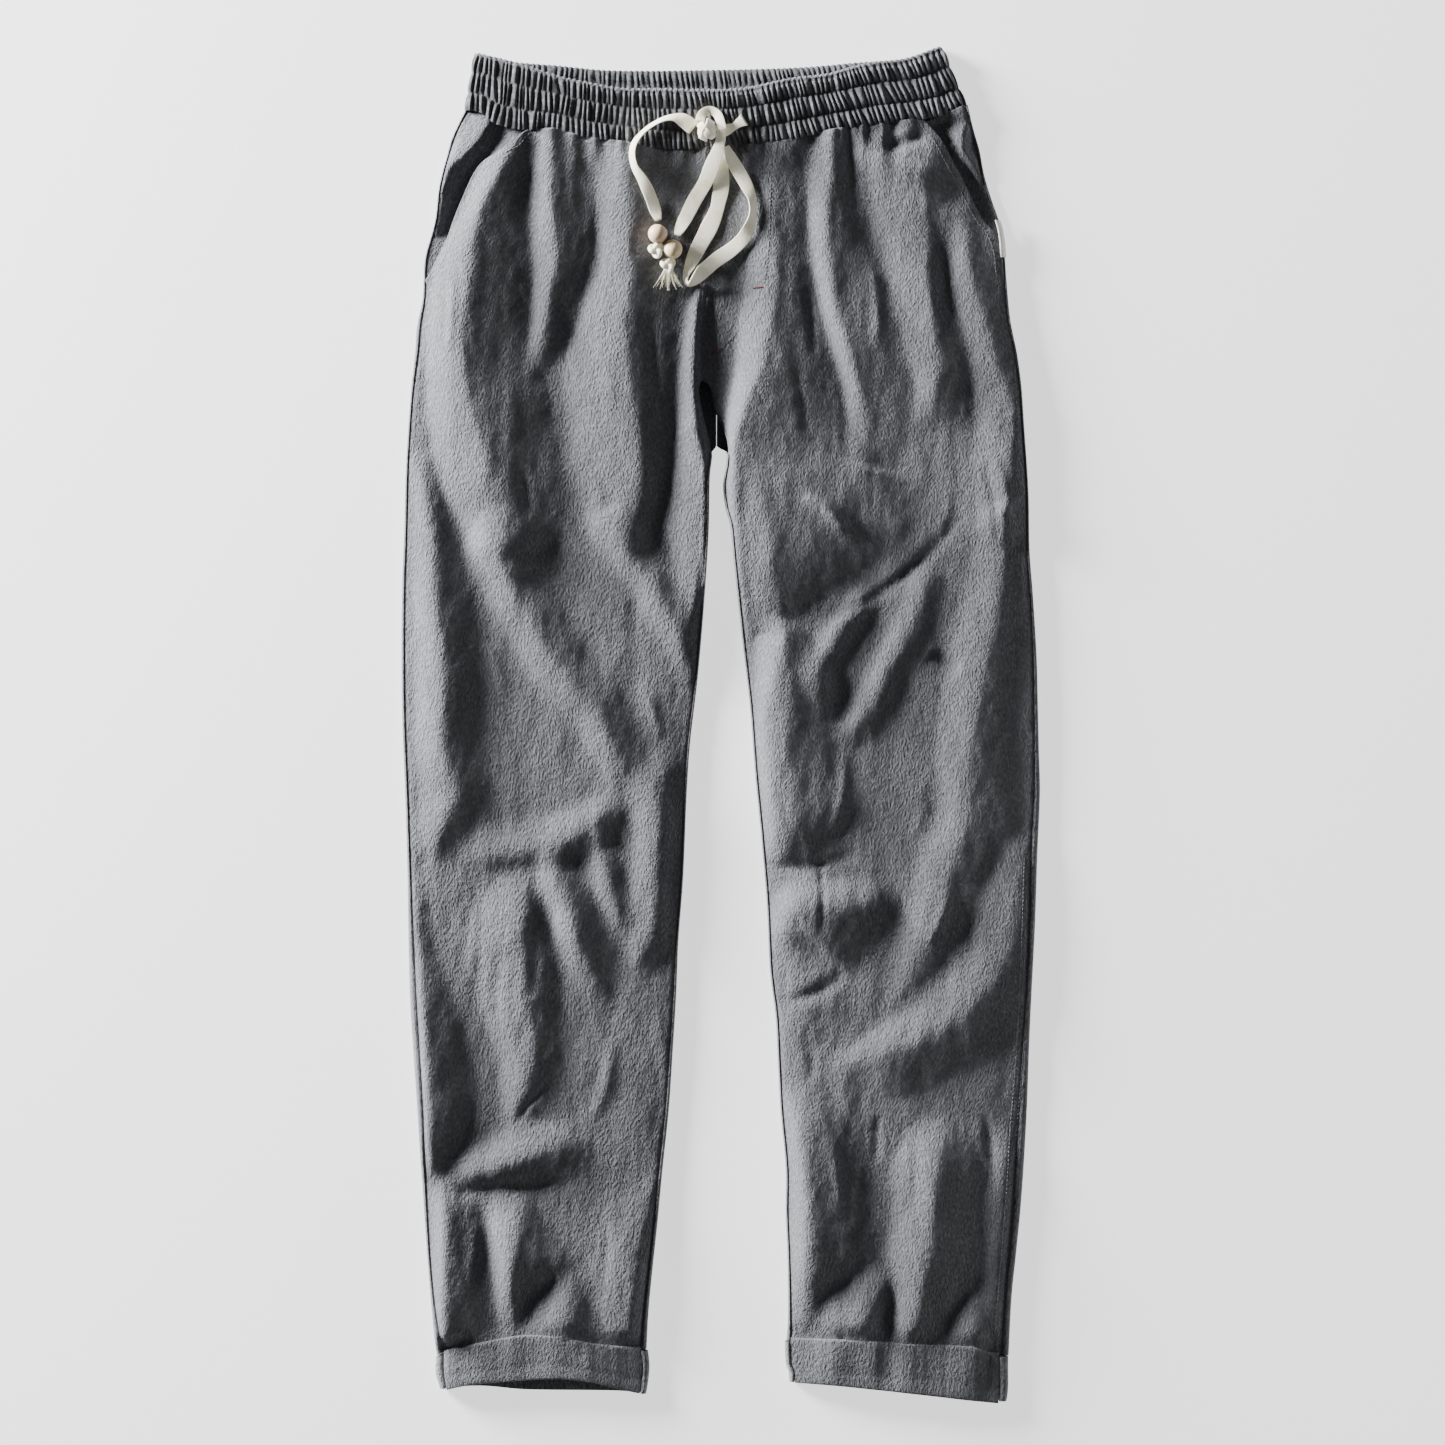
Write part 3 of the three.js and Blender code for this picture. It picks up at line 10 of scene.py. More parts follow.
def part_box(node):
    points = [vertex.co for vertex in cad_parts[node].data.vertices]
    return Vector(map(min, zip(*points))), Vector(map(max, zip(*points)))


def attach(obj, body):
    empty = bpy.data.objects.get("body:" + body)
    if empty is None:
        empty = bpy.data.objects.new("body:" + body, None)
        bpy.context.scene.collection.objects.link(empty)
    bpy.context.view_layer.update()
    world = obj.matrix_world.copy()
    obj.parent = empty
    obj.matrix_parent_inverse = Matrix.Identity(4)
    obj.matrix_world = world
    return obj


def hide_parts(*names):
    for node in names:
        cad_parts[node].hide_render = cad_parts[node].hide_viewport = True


bl_info = {
    "name": "Laid-Out Summer Trousers",
    "version": (1, 0, 0),
    "blender": (4, 5, 0),
    "location": "View3D > Sidebar > Trousers",
    "description": "Dresses a flat pair of drawstring trousers in cloth, tape and beads",
    "category": "Add Mesh",
}

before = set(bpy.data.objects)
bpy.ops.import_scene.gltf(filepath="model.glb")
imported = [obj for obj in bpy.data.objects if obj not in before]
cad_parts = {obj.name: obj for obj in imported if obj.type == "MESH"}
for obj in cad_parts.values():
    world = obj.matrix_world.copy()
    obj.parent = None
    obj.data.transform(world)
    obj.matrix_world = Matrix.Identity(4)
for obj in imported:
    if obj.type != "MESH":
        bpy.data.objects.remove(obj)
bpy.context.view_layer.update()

# Tables are in millimetres: +X to the viewer's right, +Y to the waist, +Z up from the surface.
# "Right" and "left" are the wearer's, so the right leg is at -X.
MM = 0.001
OUTLINE_CENTRE = np.array([-0.8, 0.35, 0.0])

# Heights of the front's outer face, as in the solids.
EDGE_HEIGHT = 6.4
CROWN_HEIGHT = 8.2
CROWN_RUN = 34
FAR_FROM_INSEAM = 90
FRONT_FLOOR = 5.4
FLOOR_KEENNESS = 2.5
LOWEST_FACING = 2.6
FACING_FLOOR = 2.2
FACING_DROP = 5
FACING_SOFTENING = 1.0

# Seams: the gap between two panels, and the groove that they lie in.
SEAM_GAP = 0.3
SEAM_DIP = 0.8
SEAM_DIP_WIDTH = 1.2
CENTRE_DIP = 0.8
CENTRE_DIP_WIDTH = 1.1
INSEAM_FADE = 8

# Levels along the legs.
POCKET_FOOT = 322
FRONT_CROTCH = 248
BACK_CROTCH = 203
CROTCH_BLEND = 7
CROTCH_STEP = 3
CROTCH_SPREAD = 12
SLANT_STEP = 4
CUFF_LEVEL = -452
FRONT_TOP = 433
BACK_TOP = 448
CUFF_BEND = 50
BAND_BEND = 60
BACK_SEAM_X = -4

# Where the waistband and the cuffs hold the folds down.
BAND_HOLD = 30
CUFF_HOLD = 16
HELD_AT_BAND = 0.7
HELD_AT_CUFF = 0.3
BAND_EDGE_GAP = 3.5
BAND_ARCH = 8
BAND_SIDES = (-187, 178)
ARCH_FULLNESS = 0.6
CUFF_EDGE_GAP = 3.5
CUFF_ARCH = 5.5
OVER_BAND_HOLLOW = 1
OVER_CUFF_HOLLOW = 2
TINY = 1e-6


def table(names, rows):
    """Rows of numbers as one array for each named column."""
    return {name: np.array(column, float) for name, column in zip(names, zip(*rows))}


def mix(a, b, t):
    """Straight blend from a to b."""
    return a + (b - a) * t


def ease(t):
    """Eased step from 0 to 1."""
    s = np.clip(t, 0, 1)
    return s * s * (3 - 2 * s)


def curve_of(rows, key, value):
    """A smooth function through a table's rows: cubic pieces whose slope at a row is its neighbours'."""
    order = np.argsort(rows[key], kind="stable")
    at = rows[key][order]
    height = rows[value][order]
    last = len(at) - 1
    after = np.minimum(np.arange(last + 1) + 1, last)
    before = np.maximum(np.arange(last + 1) - 1, 0)
    slope = (height[after] - height[before]) / (at[after] - at[before])

    def read(position):
        p = np.clip(np.asarray(position, float), at[0], at[-1])
        i = np.clip(np.searchsorted(at, p, side="left") - 1, 0, last - 1)
        span = at[i + 1] - at[i]
        t = (p - at[i]) / span
        a = 2 * t**3 - 3 * t**2 + 1
        b = t**3 - 2 * t**2 + t
        c = t**3 - t**2
        return a * height[i] + b * span * slope[i] + (1 - a) * height[i + 1] + c * span * slope[i + 1]

    return read


EDGE_COLUMNS = ("y", "x", "inset")
RIGHT_OUTER = table(EDGE_COLUMNS, [
    [-458, -207.3, 5.5], [-404, -213.6, 2.4], [-324, -219.4, 3.4], [-280, -222, 4.5], [-238, -225, 5],
    [-197, -227.5, 5], [-147, -228.8, 3.8], [-97, -229.7, 2.7], [-50, -231.2, 2.6], [10, -233.4, 2.6],
    [90, -233.6, 2.6], [138, -232, 2.4], [190, -230.4, 2], [241, -227, 2], [270, -224, 3],
    [291, -222.4, 3.4], [310, -218.4, 2], [340, -216.8, 1.6], [366, -209.6, 1.6], [391, -206.4, 1.6],
    [411, -201.6, 1.6], [428, -197, 1.8], [449, -187, 2],
])
RIGHT_INNER = table(EDGE_COLUMNS, [
    [-458, -55.3, 5], [-428, -53.6, 3.6], [-396, -50.4, 3], [-364, -47, 2.8], [-324, -43.2, 2.5],
    [-280, -38.6, 2.4], [-238, -35.8, 2.2], [-197, -33.3, 2], [-158, -31.7, 1.6], [-113, -28.3, 1.6],
    [-50, -25.6, 1.6], [-14, -23.2, 1.6], [34, -17.6, 1.6], [90, -12.8, 1.6], [141, -9.6, 1.6],
    [180, -8.8, 1.6], [201, -7, 1.6], [222, -12, 1.6], [241, -15.5, 1.6], [249, -14.5, 1.6],
])
LEFT_OUTER = table(EDGE_COLUMNS, [
    [-458, 208.8, 6.4], [-420, 211, 5.4], [-388, 214.4, 6], [-356, 217.6, 6.5], [-324, 220, 6.8],
    [-280, 222.5, 6], [-238, 224, 5], [-197, 225.8, 4.6], [-147, 228.3, 5], [-97, 230, 5],
    [-50, 232, 4.4], [-21, 231.3, 3.6], [14, 230.5, 3], [49, 229.6, 2.6], [92, 227, 2.2],
    [127, 224.4, 2], [170, 223.5, 1.8], [222, 220, 1.8], [246, 218.4, 1.8], [270, 215.2, 1.8],
    [294, 210.4, 1.8], [318, 208, 1.8], [342, 206.4, 1.8], [361, 204, 1.8], [385, 196, 1.8],
    [401, 191.2, 1.8], [417, 188, 1.8], [435, 182.4, 1.8], [452, 178.4, 2],
])
LEFT_INNER = table(EDGE_COLUMNS, [
    [-458, 46.5, 4], [-436, 48, 2.4], [-388, 47.7, 1.6], [-356, 46.4, 1.6], [-324, 46.4, 1.6],
    [-280, 42.5, 1.6], [-247, 40.8, 1.6], [-213, 39, 1.6], [-180, 35, 1.6], [-130, 32.5, 1.6],
    [-80, 28.3, 1.6], [-38, 24.2, 1.6], [14, 20.2, 1.6], [62, 14.7, 1.6], [118, 8.6, 1.6],
    [144, 6, 1.6], [158, 2.4, 1.6], [174, 0.8, 1.6], [190, 3.2, 1.6], [203, 3, 1.6],
    [214, 0, 1.6], [228, -6.4, 1.6], [244, -9.6, 1.6], [249, -13, 1.6],
])
CENTRE_SEAM = table(("y", "x"), [
    [248, -14], [262, -16.5], [290, -17], [313, -15], [340, -12], [380, -8], [433, -4],
])
RIGHT_SLANT = table(("y", "x"), [
    [322, -215.8], [340, -206.4], [353, -200], [371, -193.6], [385, -187], [398, -179],
    [406, -171], [415.6, -160], [420, -153], [428, -147], [433, -141],
])
LEFT_SLANT = table(("y", "x"), [
    [322, 205], [345, 202.4], [360, 196], [366, 190.5], [377, 184], [388, 177.5], [403, 167.5],
    [418.8, 157.6], [430, 148], [439.6, 141.6],
])
BAND_TOP_FRONT = table(("x", "y"), [
    [-180, 489], [-144, 479.6], [-120, 471.6], [-96, 466], [-72, 462], [-40, 461.5], [0, 461],
    [20, 462.8], [49, 469], [76, 472.4], [105, 480.4], [134, 484.4], [160, 494],
])
BAND_FOOT_FRONT = table(("x", "y"), [
    [-187, 448.4], [-176, 446], [-165, 438], [-144, 433], [-122, 433], [-104, 428.4], [-80, 424.4],
    [-40, 418.8], [10, 420], [49, 425], [80, 432], [121, 437.7], [160, 443.6], [178, 451.6],
])
BAND_TOP_BACK = table(("x", "y"), [
    [-180, 488.7], [-160, 483.6], [-120, 480], [-80, 476.4], [0, 476.8], [60, 478.8], [100, 482.3],
    [135, 485], [160, 493.7],
])
BAND_FOOT_BACK = table(("x", "y"), [[-187, 448.2], [BACK_SEAM_X, 435], [178, 451.4]])

CUFFS = {
    "right": {
        "side": -1,
        "mouth": (-203, -58),
        "top": table(("x", "y"), [
            [-209, -461.6], [-201.6, -457.6], [-160, -449], [-141, -446.4], [-115, -448], [-96, -452],
            [-74, -455], [-53, -456.4],
        ]),
        "front_foot": table(("x", "y"), [
            [-209, -486], [-184, -480], [-160, -477.6], [-122, -475], [-96, -477.6], [-64, -485.6],
            [-53, -487.4],
        ]),
        "back_foot": table(("x", "y"), [
            [-209, -484.5], [-176, -483], [-144, -485.6], [-80, -486.4], [-53, -488.2],
        ]),
        "outer": table(EDGE_COLUMNS, [
            [-490, -205.4, 5], [-483, -206.4, 5], [-473, -208.8, 6], [-458, -208.8, 6],
        ]),
        "inner": table(EDGE_COLUMNS, [
            [-490, -56.4, 4], [-482, -54.4, 4.5], [-468, -52.8, 5], [-455, -54.2, 5],
        ]),
    },
    "left": {
        "side": 1,
        "mouth": (51, 203),
        "top": table(("x", "y"), [
            [45, -449.4], [96, -450], [120, -451.7], [160, -454], [181, -455.5], [192, -458.4], [209, -461],
        ]),
        "front_foot": table(("x", "y"), [
            [45, -478.2], [80, -480], [112, -483], [144, -486.4], [209, -494.5],
        ]),
        "back_foot": table(("x", "y"), [
            [45, -478.6], [112, -485.6], [144, -489.2], [176, -492], [209, -493.6],
        ]),
        "outer": table(EDGE_COLUMNS, [
            [-496, 202, 5], [-484, 208, 6], [-460, 208.8, 6.4], [-455, 208.8, 6.4],
        ]),
        "inner": table(EDGE_COLUMNS, [[-480, 48.8, 4], [-473, 46.4, 4], [-452, 45.6, 4], [-445, 45.6, 4]]),
    },
}

FOLD_COLUMNS = ("x", "y", "lit", "shade", "height")
ROUTE_COLUMNS = ("x", "y", "lift", "turn", "width")

# Small creases: both ends, how far the middle bows to the left of the way, half width, rise.
CREASES = [
    (60, 165, 90, 140, 4, 4, 2.2), (73, 76, 176, 156, -12, 5, -2.0), (150, 50, 172, 38, 2, 6, -2.5),
    (24, 66, 44, 60, 2, 5, -2.0), (71, -95, 71, -155, 2, 3, -1.5), (112, -285, 112, -320, 1, 3, -1.5),
    (-112, 140, -160, 118, 4, 9, -2.5), (-140, -140, -138, -200, 2, 5, -1.8),
    (-160, -165, -162, -215, -2, 5, -1.6),
    (-150, -292, -125, -262, 3, 3, -1.6), (-195, -342, -110, -335, 3, 5, -2.2),
    (42, -203, 90, -180, -4, 5, -2.2),
    (31, -103, 100, -93, -5, 5, -2.2), (200, 150, 212, 165, 0, 4, 1.6), (147, 427, 117, 421, 1, 4.5, -4.0),
    (60, 318, 66, 268, 2, 3, -1.4), (52, 258, 60, 210, 2, 3.5, -1.3), (-50, 300, -46, 240, -2, 4, -1.2),
    (-150, 190, -140, 150, 2, 4, -1.4), (-196, 330, -198, 270, 1, 3, 1.2), (-172, 60, -160, 20, 2, 4, 1.2),
    (-60, 30, -45, -10, 2, 4, 1.3), (-180, -130, -186, -190, 2, 4, 1.2), (-80, -230, -95, -290, 3, 5, 1.5),
    (-90, 380, -92, 320, 2, 4, -1.3), (110, 330, 112, 270, 2, 4, 1.4), (190, 190, 200, 130, 3, 3, -1.3),
    (196, 200, 207, 150, 3, 3, 1.0), (90, -20, 80, -80, 2, 4, 1.3), (190, -280, 196, -340, 2, 4, -1.4),
    (80, -300, 84, -360, 2, 4, 1.3), (140, -300, 138, -360, 2, 4, -1.0), (-180, -360, -184, -410, 2, 4, 1.2),
    (-84, -360, -88, -420, 2, 4, -1.2), (165, -120, 150, -160, 2, 4, 1.2), (60, -220, 64, -262, 2, 4, -1.4),
]
# Folds of the pocket facings, which are hollow beside the slant edges: rows as in the folds below.
FACING_FOLDS = {
    "right_facing_ridge": [
        [-169, 440, 14, 9, 5], [-176, 427, 14, 10, 6.5], [-188, 414, 11, 14, 7], [-198, 405, 8, 15, 7],
        [-204, 390, 6, 13, 6.5], [-207, 375, 5, 11, 6], [-210, 362, 4, 8, 5],
    ],
    "right_facing_crease": [
        [-183, 443, 6, 5, 0], [-188, 432, 6, 5, 1.6], [-193, 420, 5, 4, 1], [-196, 412, 4, 4, 0],
    ],
    "left_facing_puff": [
        [180, 442, 18, 8, 5], [176, 430, 12, 7, 6], [176, 418, 12, 7, 6], [181, 410, 8, 6, 5],
        [186, 402, 5, 5, 3],
        [190, 392, 4, 4, 0],
    ],
    "left_facing_top": [[146, 444, 10, 12, 5], [160, 445, 10, 14, 5.5], [172, 449, 10, 12, 4]],
}

# Folds: ridges along lines walked down the leg. Lit is the width of the slope to the walker's right.
FOLDS = {
    "right_pocket_pleat": [
        [-148, 426, 10, 14, 4], [-162, 400, 16, 24, 8], [-176, 370, 14, 36, 10], [-182, 330, 28, 44, 12],
        [-188, 290, 28, 48, 13], [-186, 255, 30, 50, 13], [-178, 220, 36, 56, 13], [-162, 175, 42, 48, 12],
        [-157, 140, 30, 46, 8],
    ],
    "right_thigh_diagonal": [
        [-160, 128, 26, 34, 6], [-150, 98, 24, 26, 7], [-136, 71, 22, 24, 7.5], [-116, 38, 22, 24, 7.5],
        [-92, 12, 20, 22, 7.5], [-80, -14, 18, 20, 6.5], [-68, -36, 18, 18, 4], [-60, -60, 12, 14, 0],
    ],
    "right_side_ridge": [
        [-218, 190, 8, 14, 2], [-212, 140, 14, 16, 6], [-208, 90, 18, 28, 9], [-202, 40, 22, 28, 9],
        [-200, -20, 24, 26, 8.5], [-192, -50, 26, 22, 6], [-205, -80, 18, 18, 4],
        [-212, -100, 12, 14, 0],
    ],
    "right_waist_pleat": [
        [-126, 428, 14, 22, 4], [-125, 400, 15, 30, 6.5], [-123, 375, 17, 30, 7.5],
        [-119, 340, 20, 26, 7.5], [-124, 318, 14, 24, 6.5], [-129, 290, 10, 20, 5],
        [-136, 262, 8, 12, 2], [-141, 250, 5, 6, 0],
    ],
    "right_inner_pleat": [
        [-70, 424, 18, 20, 3], [-68, 400, 24, 30, 6], [-67, 360, 25, 32, 7.5], [-66, 320, 32, 34, 8.5],
        [-69, 290, 38, 38, 9.5], [-67, 260, 50, 34, 10], [-62, 225, 52, 28, 9.5],
        [-59, 190, 50, 22, 8.5], [-61, 160, 44, 16, 7], [-66, 135, 34, 14, 4], [-72, 115, 20, 12, 0],
    ],
    "right_centre_ridge": [
        [-14, 318, 8, 5, 3], [-17, 299, 9, 5, 5], [-19, 275, 10, 5, 6], [-20, 250, 12, 6, 7],
        [-18, 225, 15, 6, 9], [-14, 200, 22, 6, 9.5], [-11, 175, 28, 6, 10], [-11, 140, 30, 6, 9],
        [-14, 110, 26, 7, 8], [-18, 90, 18, 8, 6], [-24, 60, 12, 7, 2], [-26, 40, 8, 6, 0],
    ],
    "right_inner_diagonal": [
        [-86, 158, 14, 18, 0], [-82, 148, 18, 18, 4], [-66, 124, 17, 20, 6], [-51, 103, 16, 20, 6.5],
        [-40, 82, 16, 16, 6], [-29, 62, 15, 12, 5], [-24, 42, 12, 8, 3], [-22, 25, 8, 5, 0],
    ],
    "right_knee_crease": [
        [-70, -50, 14, 14, 0], [-86, -68, 18, 18, 5], [-110, -85, 22, 18, 6], [-132, -91, 24, 14, 5],
        [-165, -97, 24, 10, 3], [-198, -95, 16, 8, 0],
    ],
    "right_knee_pleat": [
        [-128, -92, 14, 10, 0], [-120, -112, 16, 16, 6], [-110, -132, 16, 18, 8], [-106, -152, 18, 22, 8],
        [-98, -172, 18, 18, 6], [-88, -192, 14, 10, 3], [-80, -212, 10, 8, 0],
    ],
    "right_knee_crumple": [
        [-88, -84, 8, 10, 2], [-86, -100, 12, 16, 5], [-79, -122, 14, 12, 5], [-72, -145, 12, 10, 3],
        [-66, -165, 8, 8, 0],
    ],
    "right_inner_knee": [
        [-36, -20, 12, 8, 0], [-46, -45, 20, 16, 5], [-44, -80, 22, 14, 6], [-47, -115, 22, 14, 6],
        [-49, -145, 18, 14, 5], [-57, -165, 12, 18, 4], [-60, -185, 8, 10, 0],
    ],
    "right_outseam_roll": [
        [-223, -120, 5, 8, 1], [-221, -165, 5, 12, 5], [-220, -200, 5, 24, 8], [-217, -240, 5, 32, 11],
        [-215, -285, 5, 34, 11], [-213, -315, 5, 22, 8], [-211, -335, 5, 10, 0],
    ],
    "right_shin_ridge": [
        [-142, -105, 16, 10, 0], [-142, -140, 40, 12, 6], [-138, -175, 44, 16, 7],
        [-137, -210, 38, 18, 6.5], [-137, -245, 26, 20, 6.5], [-146, -285, 14, 14, 3],
        [-150, -300, 8, 10, 0],
    ],
    "right_shin_crease": [
        [-100, -300, 14, 14, 0], [-115, -308, 20, 24, 5], [-132, -313, 24, 22, 7], [-160, -322, 24, 20, 7],
        [-182, -327, 16, 14, 5], [-199, -333, 8, 8, 0],
    ],
    "right_ankle_pleat": [
        [-152, -338, 14, 10, 0], [-149, -362, 22, 22, 7], [-152, -385, 17, 44, 10], [-154, -405, 13, 34, 9],
        [-153, -425, 13, 18, 6], [-149, -446, 10, 10, 3],
    ],
    "right_ankle_roll": [
        [-206, -338, 6, 12, 3], [-204, -355, 6, 28, 8], [-203, -385, 6, 32, 10.5],
        [-204, -420, 6, 40, 11], [-203, -445, 6, 40, 9],
    ],
    "right_ankle_wedge": [
        [-110, -398, 6, 6, 0], [-111, -415, 17, 15, 5], [-114, -430, 26, 28, 8], [-118, -447, 28, 42, 9],
    ],
    "right_inseam_rise": [
        [-52, -330, 14, 5, 0], [-56, -360, 30, 6, 3], [-61, -400, 34, 6, 5], [-65, -440, 30, 6, 5],
    ],
    "fly_ridge": [
        [36, 424, 26, 16, 2], [38, 400, 28, 22, 3], [40, 370, 26, 22, 4], [40, 340, 22, 24, 5.5],
        [38, 305, 24, 34, 8], [35, 280, 24, 46, 10], [30, 258, 22, 64, 11.5], [20, 235, 16, 96, 13],
        [10, 205, 10, 126, 14.5], [8, 170, 8, 138, 15], [9, 140, 7, 132, 14], [11, 112, 6, 110, 12],
        [14, 90, 6, 80, 8], [18, 72, 5, 46, 4], [22, 60, 4, 20, 0],
    ],
    "left_waist_pleat": [
        [80, 426, 14, 12, 4], [79, 400, 16, 16, 5.5], [77, 370, 14, 22, 6.5], [78, 335, 13, 36, 7.5],
        [84, 300, 12, 46, 8], [93, 270, 12, 52, 8], [100, 245, 12, 60, 6.5], [104, 215, 12, 66, 4],
        [104, 185, 12, 60, 1.5], [104, 160, 10, 40, 0],
    ],
    "left_middle_pleat": [
        [146, 412, 50, 26, 5], [148, 380, 46, 22, 5], [149, 350, 34, 16, 5.5], [150, 325, 30, 14, 6],
        [152, 305, 28, 16, 6], [156, 275, 24, 22, 6.5], [157, 250, 18, 28, 6], [152, 232, 12, 34, 3],
        [148, 212, 10, 24, 0],
    ],
    "left_pocket_pleat": [
        [172, 368, 14, 16, 3], [178, 345, 16, 30, 4.5], [188, 305, 22, 24, 5], [199, 272, 22, 20, 5],
        [209, 240, 27, 14, 5], [212, 215, 28, 12, 5], [211, 175, 30, 14, 5], [207, 150, 26, 18, 5],
    ],
    "left_long_ridge": [
        [206, 146, 20, 10, 2], [204, 100, 26, 13, 4], [195, 50, 34, 22, 5.5], [185, 0, 28, 32, 6],
        [180, -40, 24, 36, 6], [179, -70, 22, 36, 6], [168, -103, 26, 28, 5.5],
        [162, -130, 26, 26, 5.5], [155, -150, 26, 26, 5], [145, -170, 22, 24, 4.5],
        [137, -192, 14, 18, 3], [132, -208, 8, 12, 0],
    ],
    "left_thigh_short": [
        [110, 98, 8, 10, 0], [103, 88, 12, 12, 4], [86, 67, 12, 13, 4.5], [73, 42, 12, 15, 4],
        [72, 20, 8, 12, 2], [74, 4, 6, 8, 0],
    ],
    "left_thigh_long": [
        [152, 116, 10, 10, 0], [149, 102, 14, 13, 3.5], [138, 72, 14, 15, 4], [125, 45, 14, 15, 4],
        [108, 12, 14, 15, 4], [94, -5, 12, 14, 3], [84, -16, 8, 10, 0],
    ],
    "left_thigh_arc": [[58, 168, 8, 8, 0], [80, 151, 8, 12, 4], [92, 138, 8, 10, 2], [98, 126, 6, 8, 0]],
    "left_inner_knee": [
        [46, 78, 14, 12, 0], [44, 62, 20, 24, 6], [39, 35, 16, 54, 9], [32, 5, 8, 58, 9],
        [33, -35, 8, 58, 9], [38, -70, 10, 62, 9], [41, -90, 10, 44, 5], [44, -104, 8, 20, 0],
    ],
    "left_knee_crease": [
        [128, -128, 10, 14, 0], [108, -132, 20, 30, 5], [80, -134, 22, 50, 8], [55, -136, 20, 52, 8],
        [44, -150, 10, 44, 5], [42, -170, 6, 25, 0],
    ],
    "left_shin_diagonal": [
        [220, -95, 18, 6, 2], [217, -130, 30, 10, 4], [211, -160, 34, 18, 5], [200, -185, 38, 32, 6],
        [180, -208, 36, 38, 7], [150, -228, 28, 34, 7], [118, -240, 20, 36, 6], [96, -246, 12, 20, 3],
        [80, -250, 8, 10, 0],
    ],
    "left_inseam_ridge": [
        [49, -262, 5, 10, 0], [53, -290, 7, 36, 7], [58, -320, 9, 44, 9], [62, -355, 12, 46, 10],
        [61, -392, 12, 46, 10], [62, -415, 12, 18, 5], [63, -440, 10, 6, 0],
    ],
    "left_ankle_pleat": [
        [158, -285, 14, 14, 0], [158, -315, 32, 32, 8], [155, -355, 32, 36, 9.5],
        [150, -392, 30, 40, 10], [146, -415, 22, 30, 8.5], [140, -435, 18, 24, 7],
        [136, -449, 16, 20, 6],
    ],
    "left_ankle_wedge": [
        [116, -392, 8, 8, 0], [113, -412, 30, 12, 5], [107, -428, 34, 14, 7], [99, -447, 32, 20, 7],
    ],
    "left_ankle_small_wedge": [
        [185, -408, 6, 8, 0], [186, -425, 15, 9, 4], [185, -440, 20, 10, 6], [184, -452, 22, 11, 6],
    ],
    "left_outseam_rise": [
        [210, -290, 14, 4, 0], [207, -330, 18, 4, 3], [203, -380, 15, 4, 3], [199, -440, 10, 4, 3],
    ],
    "left_leg_crown": [
        [32, 190, 18, 140, 0], [38, 120, 20, 160, 4], [48, 20, 22, 165, 5], [52, -100, 22, 165, 5],
        [58, -250, 20, 150, 5], [66, -380, 18, 135, 4.5], [68, -440, 18, 130, 3],
    ],
    "left_pocket_bag": [
        [160, 398, 10, 12, 0], [140, 401, 9, 14, 3], [113, 411, 9, 14, 4], [96, 426, 8, 12, 2],
    ],
}

ROUTES = {
    "ear": table(ROUTE_COLUMNS, [
        [-1.5, 429.5, 0, 0, 0.95], [4, 431.4, 0, 0, 0.8], [8.5, 433.4, 0, 0, 0.55], [12.5, 436.2, 0, 0, 0.7],
        [16.4, 438.6, 0, 0, 1],
    ]),
    "tail_right": table(ROUTE_COLUMNS, [
        [-16.2, 436.4, 0, 0, 0.65], [-14.6, 441.8, 0, 0, 0.66], [-9.4, 445.2, 0, 0, 0.66],
        [-3.6, 442.6, 0, 0, 0.66],
        [-0.8, 435.4, 0, 0, 0.66], [-0.6, 425.7, 0, 0, 0.75], [-3, 415.9, 0, 0, 0.95],
        [-6.4, 407.1, 0, 0, 1.08],
        [-11.8, 394.4, 0, 0, 1.1], [-19.6, 381.7, 0, 0, 1.12], [-25.5, 370, 0, 0, 1.1],
        [-30, 361.5, 0.3, 10, 0.85],
        [-32.6, 355.5, 0.8, 20, 0.45],
    ]),
    "tail_left": table(ROUTE_COLUMNS, [
        [-20.6, 432.5, 0, 0, 1.1], [-28.4, 438, 0, 0, 1], [-36.3, 439.8, 0, 30, 0.6],
        [-45.1, 437.4, 0, 50, 0.55],
        [-54.8, 431.5, 0, 50, 0.55], [-62.7, 422.7, 0, 45, 0.6], [-65.1, 413.9, 0, 45, 0.6],
        [-63.2, 404.2, 0, 40, 0.65], [-57.8, 395.4, 0, 15, 0.8], [-52.9, 385.6, 0, -10, 0.95],
        [-49, 374.8, 0, -15, 0.95], [-46.2, 366, 0.8, 0, 0.45],
    ]),
    "loop": table(ROUTE_COLUMNS, [
        [-3, 419, 0, 0, 0.7], [-0.6, 408, 0, 0, 1], [-0.6, 391, 0, 0, 1.2], [-4, 374, 0, 0, 1.15],
        [-10, 360, 0, 0, 1.2], [-17, 347, 0, 0, 1.2], [-22.6, 335, 0, 20, 1], [-26.5, 325, 0, 50, 0.6],
        [-24.5, 319.6, 0.5, 60, 0.5], [-19.5, 322.5, 1.6, 40, 0.8], [-13, 329.5, 2.4, 15, 1.1],
        [-4, 337.5, 1.6, 0, 1.15], [8, 346, 0.4, 0, 1.1], [17, 355.5, 0, 10, 0.95], [22, 368, 0, 35, 0.75],
        [22, 380.5, 0, 30, 0.75], [18, 391, 0, 10, 0.95], [12.5, 401, 1, 0, 1], [7, 410, 2.2, 0, 0.85],
        [3, 419, 2.6, 0, 0.5],
    ]),
}


